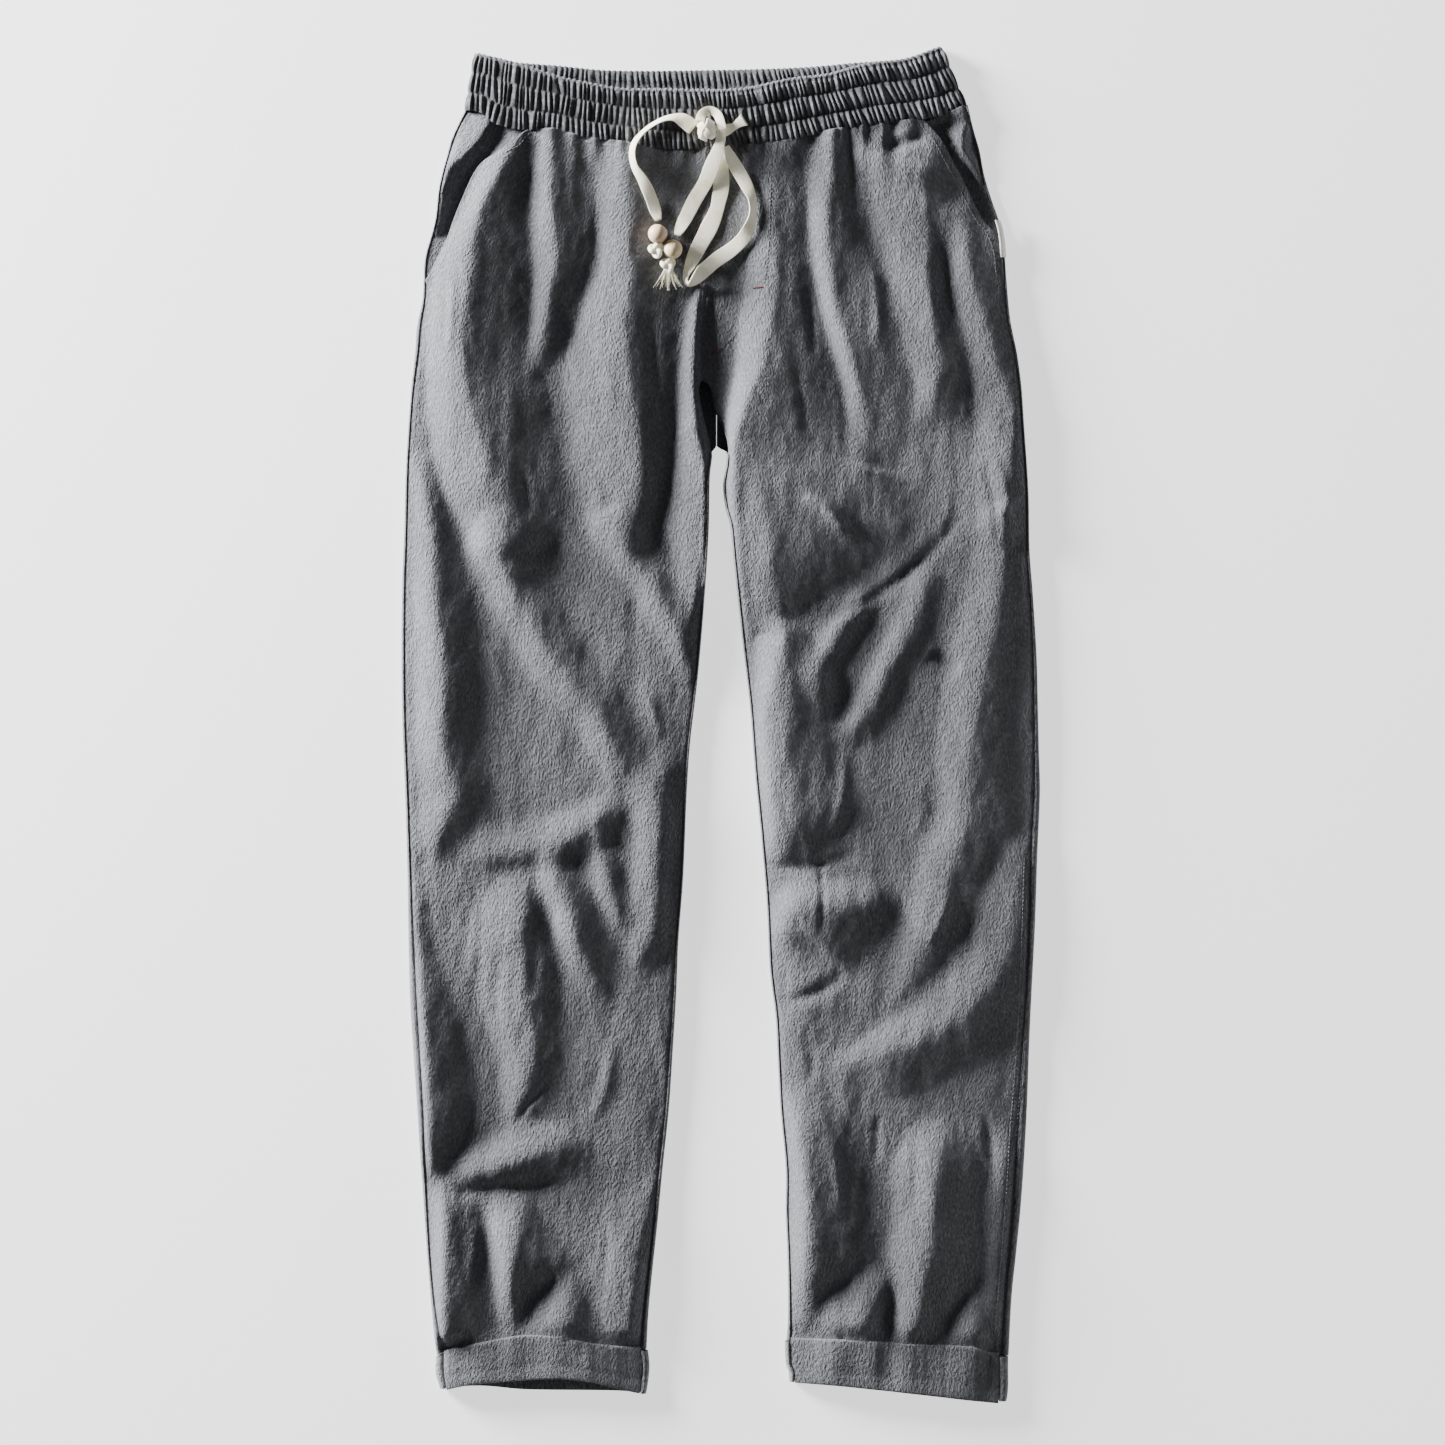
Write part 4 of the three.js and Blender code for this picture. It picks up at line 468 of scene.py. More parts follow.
def edge_curves(outer, inner, slant):
    """Functions of the level for one leg's folded edges, its seams' insets and its pocket's edge."""
    return {
        "outer": curve_of(outer, "y", "x"),
        "outer_inset": curve_of(outer, "y", "inset"),
        "inner": curve_of(inner, "y", "x"),
        "inner_inset": curve_of(inner, "y", "inset"),
        "slant": curve_of(slant, "y", "x"),
    }


EDGE = {
    "right": edge_curves(RIGHT_OUTER, RIGHT_INNER, RIGHT_SLANT),
    "left": edge_curves(LEFT_OUTER, LEFT_INNER, LEFT_SLANT),
}
OUTWARD = {"right": -1, "left": 1}
centre_x = curve_of(CENTRE_SEAM, "y", "x")
foot_of_front_band = curve_of(BAND_FOOT_FRONT, "x", "y")
top_of_cuff = {side: curve_of(CUFFS[side]["top"], "x", "y") for side in CUFFS}


def foot_of_back_band(x):
    """Straight lines between the rows of the back band's foot."""
    return np.interp(x, BAND_FOOT_BACK["x"], BAND_FOOT_BACK["y"])


def arch(x, ends):
    """Full arch from 0 at two ends to 1 halfway: a power of half a sine wave."""
    share = np.clip((x - ends[0]) / (ends[1] - ends[0]), 0, 1)
    return np.sin(np.pi * share) ** ARCH_FULLNESS


def band_hollow(x):
    """Height of the waist's hollow between the bands, over the flat back."""
    return BAND_EDGE_GAP + BAND_ARCH * arch(x, BAND_SIDES)


def cuff_hollow(side, x):
    """Height of a cuff's mouth over its flat back."""
    return CUFF_EDGE_GAP + CUFF_ARCH * arch(x, CUFFS[side]["mouth"])


# The height map of the front: one value for each millimetre of the garment's outline.
FIELD_LOW = np.array([-252.0, -512.0])
FIELD_HIGH = np.array([252.0, 512.0])
FIELD_STEP = 1.0
SPARE_CELLS = 5

# Folds are smoothed less above the upper of two levels than below the lower one.
FOLD_SOFTENING = 1.5
LEG_SOFTENING = 3.2
LEG_BLEND = (110, 240)
FOLD_RISE = 1.15
FOLD_MARGIN = 2
STEPS_A_ROW = 5
LIT_SHOULDER = 1.6
SHADE_SHOULDER = 1.1
CREASE_REACH = 3
CREASE_FULLNESS = 0.6

# Crinkle of the washed cloth: cell width and height, rise, and the seed of each layer.
CRINKLES = [
    ((19.0, 46.0), 0.55, 11),
    ((9.0, 26.0), 0.42, 12),
    ((4.2, 9.0), 0.2, 13),
    ((2.4, 4.6), 0.12, 14),
]
CRINKLE_AT_EDGE = 0.35
CRINKLE_RUN = 6
FACING_CRINKLE = 0.5

# Gathers just under the waistband.
PUCKER_PITCH = 8.5
PUCKER_HEIGHT = 2.3
PUCKER_RUN = 9.0


def field_axes():
    """The x values of the height map's columns and the y values of its rows."""
    return [np.arange(low, high + FIELD_STEP / 2, FIELD_STEP) for low, high in zip(FIELD_LOW, FIELD_HIGH)]


def blurred(field, radius):
    """A field averaged with a bell curve of that radius, first down and then across."""
    reach = int(math.ceil(2.5 * radius))
    offsets = np.arange(-reach, reach + 1)
    weights = np.exp(-0.5 * (offsets / radius) ** 2)
    weights /= weights.sum()
    for axis in (0, 1):
        padded = np.pad(field, [(reach, reach) if a == axis else (0, 0) for a in (0, 1)], mode="edge")
        size = field.shape[axis]
        field = sum(w * np.take(padded, np.arange(size) + reach + o, axis) for w, o in zip(weights, offsets))
    return field


def fold_line(rows):
    """A fold's line as short steps along smooth curves through its rows, one array a column."""
    named = table(FOLD_COLUMNS, rows)
    named["at"] = np.arange(len(rows), dtype=float)
    steps = np.linspace(0, len(rows) - 1, (len(rows) - 1) * STEPS_A_ROW + 1)
    return {name: curve_of(named, "at", name)(steps) for name in FOLD_COLUMNS}


def slope_shape(s, side):
    """Slope of a fold from its crest, at 0, to its foot, at 1: rounded on the lit side, flat on the other."""
    return 1 - np.minimum(s, 1) ** mix(LIT_SHOULDER, SHADE_SHOULDER, (1 + side) / 2)


def window_of(axes, low_corner, high_corner):
    """The cells of a map that lie in a box, as slices of it, and their x and y."""
    across, down = (
        slice(np.searchsorted(axis, low), np.searchsorted(axis, high))
        for axis, low, high in zip(axes, low_corner, high_corner)
    )
    x, y = np.meshgrid(axes[0][across], axes[1][down])
    return (down, across), x, y


def add_fold(field, axes, rows):
    """Adds one ridge: its height at the nearest point of its line, eased away over its side's width."""
    line = fold_line(rows)
    points = np.stack([line["x"], line["y"]], -1)
    reach = max(line["lit"].max(), line["shade"].max()) + FOLD_MARGIN
    cells, x, y = window_of(axes, points.min(0) - reach, points.max(0) + reach)
    nearest = np.full(x.shape, np.inf)
    rise = np.zeros(x.shape)
    for i, start in enumerate(points[:-1]):
        along = points[i + 1] - start
        length = np.hypot(*along)
        t = np.clip(((x - start[0]) * along[0] + (y - start[1]) * along[1]) / length**2, 0, 1)
        away_x = x - start[0] - t * along[0]
        away_y = y - start[1] - t * along[1]
        distance = np.hypot(away_x, away_y)
        side = (along[0] * away_y - along[1] * away_x) / (length * np.maximum(distance, TINY))
        lit, shade, height = (mix(line[name][i], line[name][i + 1], t) for name in ("lit", "shade", "height"))
        width = np.maximum(mix(lit, shade, (1 + side) / 2), 1)
        slope = np.maximum(height, 0) * slope_shape(distance / width, side)
        closer = distance < nearest
        rise = np.where(closer, slope, rise)
        nearest = np.where(closer, distance, nearest)
    field[cells] += rise


def add_creases(field, axes, rows):
    """Adds short creases: each a bowed line from end to end, a bell curve across and half a sine along."""
    for x0, y0, x1, y1, bow, width, height in rows:
        ends = np.array([[x0, y0], [x1, y1]])
        length = np.hypot(*(ends[1] - ends[0]))
        along = (ends[1] - ends[0]) / length
        reach = CREASE_REACH * width + abs(bow)
        cells, x, y = window_of(axes, ends.min(0) - reach, ends.max(0) + reach)
        t = ((x - x0) * along[0] + (y - y0) * along[1]) / length
        across = (x - x0) * -along[1] + (y - y0) * along[0]
        inside = np.clip(t, 0, 1)
        distance = np.hypot(across - 4 * bow * inside * (1 - inside), (t - inside) * length)
        along_it = np.sin(np.pi * inside) ** CREASE_FULLNESS
        field[cells] += height * np.exp(-((distance / width) ** 2)) * along_it


def crinkle(axes, cell, seed):
    """Smooth seeded noise between -1 and 1 whose cells have that width and height in millimetres."""
    rng = np.random.default_rng(seed)
    counts = [int((high - low) / size) + SPARE_CELLS for low, high, size in zip(FIELD_LOW, FIELD_HIGH, cell)]
    values = rng.uniform(-1, 1, (counts[1], counts[0]))
    place = [(axis - low) / size + 1 for axis, low, size in zip(axes, FIELD_LOW, cell)]
    x, y = np.meshgrid(*place)
    return cubic_read(values, x, y)


def cubic_read(values, column, row):
    """Reads a grid between its points with Catmull-Rom weights over four columns and four rows."""
    rows, columns = values.shape
    c = np.clip(np.floor(column).astype(int), 1, columns - 3)
    r = np.clip(np.floor(row).astype(int), 1, rows - 3)
    weights = []
    for t in (np.clip(column - c, 0, 1), np.clip(row - r, 0, 1)):
        weights.append([
            0.5 * (-t + 2 * t**2 - t**3),
            0.5 * (2 - 5 * t**2 + 3 * t**3),
            0.5 * (t + 4 * t**2 - 3 * t**3),
            0.5 * (-(t**2) + t**3),
        ])
    total = 0
    for j in range(4):
        for i in range(4):
            total = total + weights[0][i] * weights[1][j] * values[r + j - 1, c + i - 1]
    return total


def read_field(field, x, y):
    """Heights of a map at any points."""
    return cubic_read(field, (x - FIELD_LOW[0]) / FIELD_STEP, (y - FIELD_LOW[1]) / FIELD_STEP)


def waist_puckers(x, y):
    """Small gathers that the band pulls into the cloth below it: waves along it that fade downwards."""
    below = np.clip(foot_of_front_band(x) - y, 0, None)
    phase = x / PUCKER_PITCH + 0.9 * np.sin(x / 23) + 0.5 * np.sin(x / 9.1 + 2)
    lobe = np.sqrt(np.abs(np.sin(np.pi * phase)) + 0.02)
    uneven = 0.6 + 0.4 * np.sin(x / 13.7 + 1)
    long_wave = np.sin(2 * np.pi * (x / (2.7 * PUCKER_PITCH) + 0.4 * np.sin(x / 17)))
    return (PUCKER_HEIGHT * uneven * lobe * np.exp(-below / PUCKER_RUN)
            + 0.5 * PUCKER_HEIGHT * long_wave * np.exp(-below / (3 * PUCKER_RUN)))


def seam_groove(distance, depth, width):
    """A seam's groove: a bell-shaped dip at no distance from it."""
    return -depth * np.exp(-((distance / width) ** 2))


def runs_from_edges(x, y, on_right):
    """How far each cell is from its own leg's outer edge, and from its inner edge."""
    return [
        np.abs(x - np.where(on_right, EDGE["right"][edge](y), EDGE["left"][edge](y)))
        for edge in ("outer", "inner")
    ]


def build_fields():
    """The front's height map, and the facings': crown from the nearest edge, folds, creases and crinkle."""
    axes = field_axes()
    x, y = np.meshgrid(*axes)
    folds = np.zeros(x.shape)
    for rows in FOLDS.values():
        add_fold(folds, axes, rows)
    on_leg = ease((LEG_BLEND[1] - y) / (LEG_BLEND[1] - LEG_BLEND[0]))
    folds = FOLD_RISE * mix(blurred(folds, FOLD_SOFTENING), blurred(folds, LEG_SOFTENING), on_leg)
    add_creases(folds, axes, CREASES)
    on_right = x < centre_x(y)
    outer_run, inner_run = runs_from_edges(x, y, on_right)
    inner_run = inner_run + FAR_FROM_INSEAM * ease((y - BACK_CROTCH) / (FRONT_CROTCH - BACK_CROTCH))
    edge_run = np.minimum(outer_run, inner_run)
    height = mix(EDGE_HEIGHT, CROWN_HEIGHT, ease(edge_run / CROWN_RUN))
    cuff_top = np.where(on_right, top_of_cuff["right"](x), top_of_cuff["left"](x))
    hollow = np.where(on_right, cuff_hollow("right", x), cuff_hollow("left", x))
    band_hold = ease((y - foot_of_front_band(x) + BAND_HOLD) / BAND_HOLD)
    cuff_hold = ease((cuff_top + CUFF_HOLD - y) / CUFF_HOLD)
    height = height + folds * mix(1, HELD_AT_BAND, band_hold) * mix(1, HELD_AT_CUFF, cuff_hold)
    height = mix(height, height - CROWN_HEIGHT + band_hollow(x) + OVER_BAND_HOLLOW, band_hold)
    height = mix(height, height - CROWN_HEIGHT + hollow + OVER_CUFF_HOLLOW, cuff_hold)
    small = sum(rise * crinkle(axes, cell, seed) for cell, rise, seed in CRINKLES)
    facing = np.maximum(height - FACING_DROP, LOWEST_FACING)
    for rows in FACING_FOLDS.values():
        add_fold(facing, axes, rows)
    facing = np.maximum(blurred(facing, FACING_SOFTENING) + FACING_CRINKLE * small, FACING_FLOOR)
    height = height + small * mix(CRINKLE_AT_EDGE, 1, ease(edge_run / CRINKLE_RUN)) + waist_puckers(x, y)
    above_crotch = y > FRONT_CROTCH - 4
    height = height + seam_groove(x - centre_x(y), CENTRE_DIP, CENTRE_DIP_WIDTH) * above_crotch
    height = FRONT_FLOOR + np.logaddexp(0, FLOOR_KEENNESS * (height - FRONT_FLOOR)) / FLOOR_KEENNESS
    for name, on_it in (("right", on_right), ("left", ~on_right)):
        for edge in ("outer", "inner"):
            run = np.abs(x - EDGE[name][edge](y)) - EDGE[name][edge + "_inset"](y) - SEAM_GAP
            groove = seam_groove(run, SEAM_DIP, SEAM_DIP_WIDTH) * on_it
            if edge == "inner":
                groove = groove * ease((FRONT_CROTCH - y) / INSEAM_FADE)
            height = height + groove
            facing = facing + groove
    return {"front": height, "facing": np.maximum(facing, FACING_FLOOR)}


def to_frame(points):
    """Millimetres of the tables as metres of the row frame."""
    return (np.asarray(points, float) - OUTLINE_CENTRE) * MM


def grid_faces(rows, columns, wrap_rows=False, wrap_columns=False):
    """Four-sided faces of a grid of points, and the grid cell that each corner takes its UV from."""
    r = np.arange(rows if wrap_rows else rows - 1)
    c = np.arange(columns if wrap_columns else columns - 1)
    r, c = np.meshgrid(r, c, indexing="ij")
    corners = [(r, c), (r, c + 1), (r + 1, c + 1), (r + 1, c)]
    faces = np.stack([(a % rows) * columns + b % columns for a, b in corners], -1)
    cells = np.stack([np.stack([a, b], -1) for a, b in corners], 2)
    return faces.reshape(-1, 4), cells.reshape(-1, 4, 2)


def arc_lengths(points, axis, wrap):
    """Running length of a grid's lines along one axis, measured from its first line, in the points' unit."""
    if wrap:
        points = np.concatenate([points, np.take(points, [0], axis)], axis)
    steps = np.linalg.norm(np.diff(points, axis=axis), axis=-1)
    start = np.zeros_like(np.take(steps, [0], axis))
    return np.concatenate([start, np.cumsum(steps, axis)], axis)


def surface(name, points, flip=False, wrap_rows=False, wrap_columns=False):
    """A mesh from a grid of points in millimetres. Its UV map holds lengths along the cloth in metres."""
    rows, columns = points.shape[:2]
    faces, cells = grid_faces(rows, columns, wrap_rows, wrap_columns)
    placed = to_frame(points)
    across = arc_lengths(placed, 1, wrap_columns)
    along = arc_lengths(placed, 0, wrap_rows)
    if wrap_rows:
        across = np.concatenate([across, across[:1]], 0)
    if wrap_columns:
        along = np.concatenate([along, along[:, :1]], 1)
    across = across - across[:, across.shape[1] // 2][:, None]
    along = along.mean(axis=1, keepdims=True) * np.ones_like(across)
    uv = np.stack([across, along], -1)[cells[..., 0], cells[..., 1]]
    if flip:
        faces = faces[:, ::-1]
        uv = uv[:, ::-1]
    return mesh_object(name, placed.reshape(-1, 3), faces, uv)


def mesh_object(name, vertices, faces, uv=None):
    """A smooth mesh object from arrays of vertices in metres and of faces that all have as many corners."""
    mesh = bpy.data.meshes.new(name)
    count, corners = faces.shape
    mesh.vertices.add(len(vertices))
    mesh.vertices.foreach_set("co", np.ascontiguousarray(vertices, np.float32).ravel())
    mesh.loops.add(count * corners)
    mesh.loops.foreach_set("vertex_index", np.ascontiguousarray(faces, np.int32).ravel())
    mesh.polygons.add(count)
    mesh.polygons.foreach_set("loop_start", np.arange(0, count * corners, corners, dtype=np.int32))
    mesh.polygons.foreach_set("use_smooth", np.ones(count, bool))
    if uv is not None:
        layer = mesh.uv_layers.new(name="UVMap")
        layer.data.foreach_set("uv", np.ascontiguousarray(uv, np.float32).ravel())
    mesh.update()
    mesh.validate()
    piece = bpy.data.objects.new(name, mesh)
    bpy.context.scene.collection.objects.link(piece)
    return piece


def joined_surfaces(name, grids, **how):
    """One mesh from several like grids, such as stitches or strands."""
    vertices, faces, uvs = [], [], []
    start = 0
    for points in grids:
        rows, columns = points.shape[:2]
        part, cells = grid_faces(rows, columns, how.get("wrap_rows", False), how.get("wrap_columns", False))
        if how.get("flip"):
            part, cells = part[:, ::-1], cells[:, ::-1]
        vertices.append(to_frame(points).reshape(-1, 3))
        faces.append(part + start)
        uvs.append(cells * 0.001)
        start += rows * columns
    return mesh_object(name, np.concatenate(vertices), np.concatenate(faces), np.concatenate(uvs))


def finished(piece, finish, slot, *nodes):
    """Gives a piece its finish, its place on the one body and the solids it stands for."""
    piece.data.materials.append(finish_of(finish))
    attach(piece, "root")
    if nodes:
        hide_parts(*nodes)
    return piece


def turned_under(points, radius, tuck):
    """Adds a small turned edge all round a panel: a half circle that bows out, then a flat tuck below."""
    for axis in (0, 1):
        parts = []
        for end in (0, -1):
            edge = np.take(points, end, axis)
            inner = np.take(points, 1 if end == 0 else -2, axis)
            out = edge - inner
            out[..., 2] = 0
            out = out / np.maximum(np.linalg.norm(out, axis=-1, keepdims=True), TINY)
            rings = []
            for angle in np.radians([45, 90, 135, 180]):
                ring = edge + out * radius * math.sin(angle)
                ring[..., 2] -= radius * (1 - math.cos(angle))
                rings.append(ring)
            if tuck > 0:
                rings.append(rings[-1] - out * tuck)
            parts.append(rings)
        before = [np.expand_dims(ring, axis) for ring in reversed(parts[0])]
        after = [np.expand_dims(ring, axis) for ring in parts[1]]
        points = np.concatenate([*before, points, *after], axis)
    return points


def bent_level(level, x, side, top, foot_of_band):
    """Height up the leg of a row at x: rows near the cuff and the band bend to follow them."""
    low = ease((CUFF_LEVEL + CUFF_BEND - level) / CUFF_BEND)
    high = ease((level - top + BAND_BEND) / BAND_BEND)
    to_cuff = top_of_cuff[side](x) + SEAM_GAP - CUFF_LEVEL
    to_band = foot_of_band(x) - SEAM_GAP - top
    return level + to_cuff * low + to_band * high


def front_panel_points(side, field, rows, columns):
    """Front of a leg: rows follow the leg's levels, columns run from the outer seam to the inner one."""
    leg, outward = EDGE[side], OUTWARD[side]
    level = np.linspace(CUFF_LEVEL, FRONT_TOP, rows)[:, None]
    outseam = leg["outer"](level) - outward * (leg["outer_inset"](level) + SEAM_GAP)
    slant_share = ease((level - POCKET_FOOT) / SLANT_STEP)
    outside = mix(outseam, leg["slant"](level), slant_share)
    inseam = leg["inner"](level) + outward * (leg["inner_inset"](level) + SEAM_GAP)
    centre = centre_x(level) + outward * SEAM_GAP / 2
    inside = mix(inseam, centre, ease((level - FRONT_CROTCH) / CROTCH_STEP))
    u = np.linspace(0, 1, columns)[None, :]
    x = mix(outside, inside, u)
    y = bent_level(level, x, side, FRONT_TOP, foot_of_front_band)
    return np.stack([x, y, read_field(field, x, y)], -1)


# Section of a rolled edge, from the seam out round the fold and down to the flat back.
ROLL_FOOT = 3.4
ROLL_STEPS = 7
ROLL_FULLNESS = 0.8
FOLD_SHARE = 0.42
FLAT_LIFT = 0.25
UNDER_SEAM = 0.2
SEAM_READ = 0.6

# Shallow creases pressed up into the underside, which otherwise lies flat.
BACK_RIPPLE = 0.7
FACING_TUCK = 9


def rolled_edge(fold_x, seam_x, seam_z, inward):
    """Half an egg: a quarter ellipse from the seam to the fold, and another from the fold to the flat."""
    turn = np.linspace(0, np.pi / 2, ROLL_STEPS)[None, :]
    middle = FOLD_SHARE * seam_z
    upper_x = seam_x + (fold_x - seam_x) * np.sin(turn) ** ROLL_FULLNESS
    upper_z = middle + (seam_z + SEAM_DIP - middle) * np.cos(turn) - SEAM_DIP * (turn == 0)
    lower_x = fold_x + inward * ROLL_FOOT * (1 - np.cos(turn))
    lower_z = FLAT_LIFT + (middle - FLAT_LIFT) * (1 - np.sin(turn))
    return np.concatenate([upper_x, lower_x[:, 1:]], 1), np.concatenate([upper_z, lower_z[:, 1:]], 1)


def back_panel_points(side, fields, rows, flat_columns):
    """Back of a leg: rolled up round both edges to meet the front, and flat between them."""
    leg, outward = EDGE[side], OUTWARD[side]
    level = np.linspace(CUFF_LEVEL, BACK_TOP, rows)[:, None]
    outer_x, inner_x = leg["outer"](level), leg["inner"](level)
    seam_outer = outer_x - outward * leg["outer_inset"](level)
    seam_inner = inner_x + outward * leg["inner_inset"](level)

    def row_y(x):
        return bent_level(level, x, side, BACK_TOP, foot_of_back_band)

    def seam_z(x):
        front, facing = (read_field(fields[name], x, row_y(x)) for name in ("front", "facing"))
        return mix(front, facing, ease((level - POCKET_FOOT) / SLANT_STEP)) - UNDER_SEAM

    x0, z0 = rolled_edge(outer_x, seam_outer, seam_z(seam_outer - outward * SEAM_READ), -outward)
    x2, z2 = rolled_edge(inner_x, seam_inner, seam_z(seam_inner + outward * SEAM_READ), outward)
    joined = ease((level - BACK_CROTCH + CROTCH_BLEND) / CROTCH_BLEND)
    centre = BACK_SEAM_X + outward * SEAM_GAP / 2
    u = np.linspace(0, 1, flat_columns)[None, 1:-1]
    start = outer_x - outward * ROLL_FOOT
    end = mix(inner_x + outward * ROLL_FOOT, centre + outward * CROTCH_SPREAD, joined)
    x1 = mix(start, end, u)
    spread = centre + outward * CROTCH_SPREAD * np.linspace(0, 1, z2.shape[1])[None, :]
    x2 = mix(x2, spread, joined)
    z2 = mix(z2, FLAT_LIFT, joined)
    wave = np.sin(x1 / 17 + 2.2 * np.sin(level / 61)) * np.sin(level / 43 + x1 / 71)
    ripple = BACK_RIPPLE * (0.5 + 0.5 * wave)
    z1 = FLAT_LIFT + ripple * np.sin(np.pi * u) ** 0.5
    x = np.concatenate([x0, x1, x2[:, ::-1]], 1)
    z = np.concatenate([z0, z1, z2[:, ::-1]], 1)
    return np.stack([x, row_y(x), z], -1)


def facing_points(side, field, rows, columns):
    """Pocket facing: from the side seam to a little way under the slant edge."""
    leg, outward = EDGE[side], OUTWARD[side]
    share = np.linspace(0, 1, rows)[:, None]
    level = mix(POCKET_FOOT, BACK_TOP, share)
    slant_level = mix(POCKET_FOOT, FRONT_TOP, share)
    outside = leg["outer"](level) - outward * (leg["outer_inset"](level) + SEAM_GAP)
    inside = leg["slant"](slant_level) - outward * FACING_TUCK
    u = np.linspace(0, 1, columns)[None, :]
    seam_y = bent_level(level, outside, side, BACK_TOP, foot_of_back_band)
    x = mix(outside, inside, u)
    y = np.minimum(mix(seam_y, slant_level, u), foot_of_front_band(x) - SEAM_GAP)
    z = read_field(field, x, y)
    return np.stack([x, y, z], -1)


def cuff_section(steps):
    """Doubled cloth in section, as (share of the way down, share of the wall): up, over, down and back."""
    turn = np.linspace(0, np.pi, 9)
    top = np.stack([-0.055 * np.sin(turn), 0.5 - 0.5 * np.cos(turn)], -1)
    foot = np.stack([1 + 0.045 * np.sin(turn), 0.5 + 0.5 * np.cos(turn)], -1)
    down = np.linspace(0, 1, steps)[1:-1]
    outer = np.stack([down, np.ones_like(down)], -1)
    inner = np.stack([down[::-1], np.zeros_like(down)], -1)
    return np.concatenate([top, outer, foot, inner])


CUFF_WALL = 3.1
CUFF_LEVELS = (-458.0, -486.0)
CUFF_LAP = 0.7
ABOVE_CUFF = 3

# Share of the way down a cuff of the line of its turning stitches, and the dent that they pull.
CUFF_FOLD_LINE = 0.72
CUFF_DENT = 0.55
CUFF_DENT_WIDTH = 0.035

# How far a cuff may sag under the leg's folds or swell over them, and how much of it is left at its foot.
CUFF_SWELL = (-0.6, 2.6)
SWELL_AT_FOOT = 0.35


def cuff_front_points(side, field, columns):
    """Turned-up cuff over the leg's foot: a doubled wall that sags and swells with the leg's own folds."""
    cuff, outward = CUFFS[side], OUTWARD[side]
    section = cuff_section(14)
    share, wall = section[:, :1], section[:, 1:]
    level = mix(*CUFF_LEVELS, np.clip(share, 0, 1))

    def edge_at(rows, inward):
        inset = curve_of(rows, "y", "inset")(level) + SEAM_GAP
        return curve_of(rows, "y", "x")(level) + inward * inset

    u = np.linspace(0, 1, columns)[None, :]
    x = mix(edge_at(cuff["outer"], -outward), edge_at(cuff["inner"], outward), u)
    foot_y = curve_of(cuff["front_foot"], "x", "y")(x)
    y = mix(top_of_cuff[side](x) + CUFF_LAP, foot_y, share)
    above = top_of_cuff[side](x) + ABOVE_CUFF
    swell = read_field(field, x, above) - cuff_hollow(side, x) - OVER_CUFF_HOLLOW
    swell = np.clip(swell, *CUFF_SWELL) * mix(1, SWELL_AT_FOOT, np.clip(share, 0, 1))
    dent = -CUFF_DENT * np.exp(-(((share - CUFF_FOLD_LINE) / CUFF_DENT_WIDTH) ** 2)) * (wall > 0.5)
    ripple = 0.35 * np.sin(x / 5.3 + 1.3 * np.sin(x / 17)) * np.sin(np.pi * np.clip(share, 0, 1))
    ripple = ripple + 0.5 * np.sin(x / 15 + 2 * share + (0 if side == "right" else 2))
    z = cuff_hollow(side, x) + wall * CUFF_WALL + swell + dent + ripple * ease(np.minimum(u, 1 - u) * 8)
    return np.stack([x, y, z], -1)


def cuff_back_points(side, rows, flat_columns):
    """Back of a cuff: rolled up round both edges, flat under the leg, seen inside the mouth."""
    cuff, outward = CUFFS[side], OUTWARD[side]
    share = np.linspace(1, -0.01, rows)[:, None]
    level = mix(*CUFF_LEVELS, share)

    def read(edge, column):
        return curve_of(cuff[edge], "y", column)(level)

    outer_x, inner_x = read("outer", "x"), read("inner", "x")
    seam_outer = outer_x - outward * read("outer", "inset")
    seam_inner = inner_x + outward * read("inner", "inset")
    seam_drop = CUFF_WALL - 0.4
    x0, z0 = rolled_edge(outer_x, seam_outer, cuff_hollow(side, seam_outer) + seam_drop, -outward)
    x2, z2 = rolled_edge(inner_x, seam_inner, cuff_hollow(side, seam_inner) + seam_drop, outward)
    u = np.linspace(0, 1, flat_columns)[None, 1:-1]
    x1 = mix(outer_x - outward * ROLL_FOOT, inner_x + outward * ROLL_FOOT, u)
    z1 = FLAT_LIFT + 0.3 * np.sin(np.pi * u) ** 0.5 * (1 + np.sin(x1 / 19))
    x = np.concatenate([x0, x1, x2[:, ::-1]], 1)
    z = np.concatenate([z0, z1, z2[:, ::-1]], 1)
    foot_y = curve_of(cuff["back_foot"], "x", "y")(x)
    y = mix(top_of_cuff[side](x) - 2 * SEAM_GAP, foot_y, share)
    return np.stack([x, y, z], -1)


BAND_WALL = 1.9
BAND_TURN = 2.6
BAND_STEPS_A_GATHER = 9
BAND_ROWS = 40
BAND_GATHERS = {"front": 86, "back": 84}
BAND_TUCK = 0.9
BAND_UNDERSIDE = 0.3
BACK_GATHER_HEIGHT = 1.9

# Share of the way up the band where the gathers start to flatten, the run over which they do, and how much.
GATHERS_END = 0.9
GATHERS_FADE = 0.06
GATHERS_LOST = 0.9

# Smooth roll along the front's top edge, above the gathers: its rise, and its middle and width as shares.
TOP_ROLL = 1.5
TOP_ROLL_AT = 0.968
TOP_ROLL_WIDTH = 0.026

# Each channel between the band's stitch lines, as shares of the way up.
FRONT_CHANNELS = [(-0.02, 0.31), (0.31, 0.67), (0.67, 1.04)]
BACK_CHANNELS = [(-0.02, 0.33), (0.33, 0.7), (0.7, 1.04)]


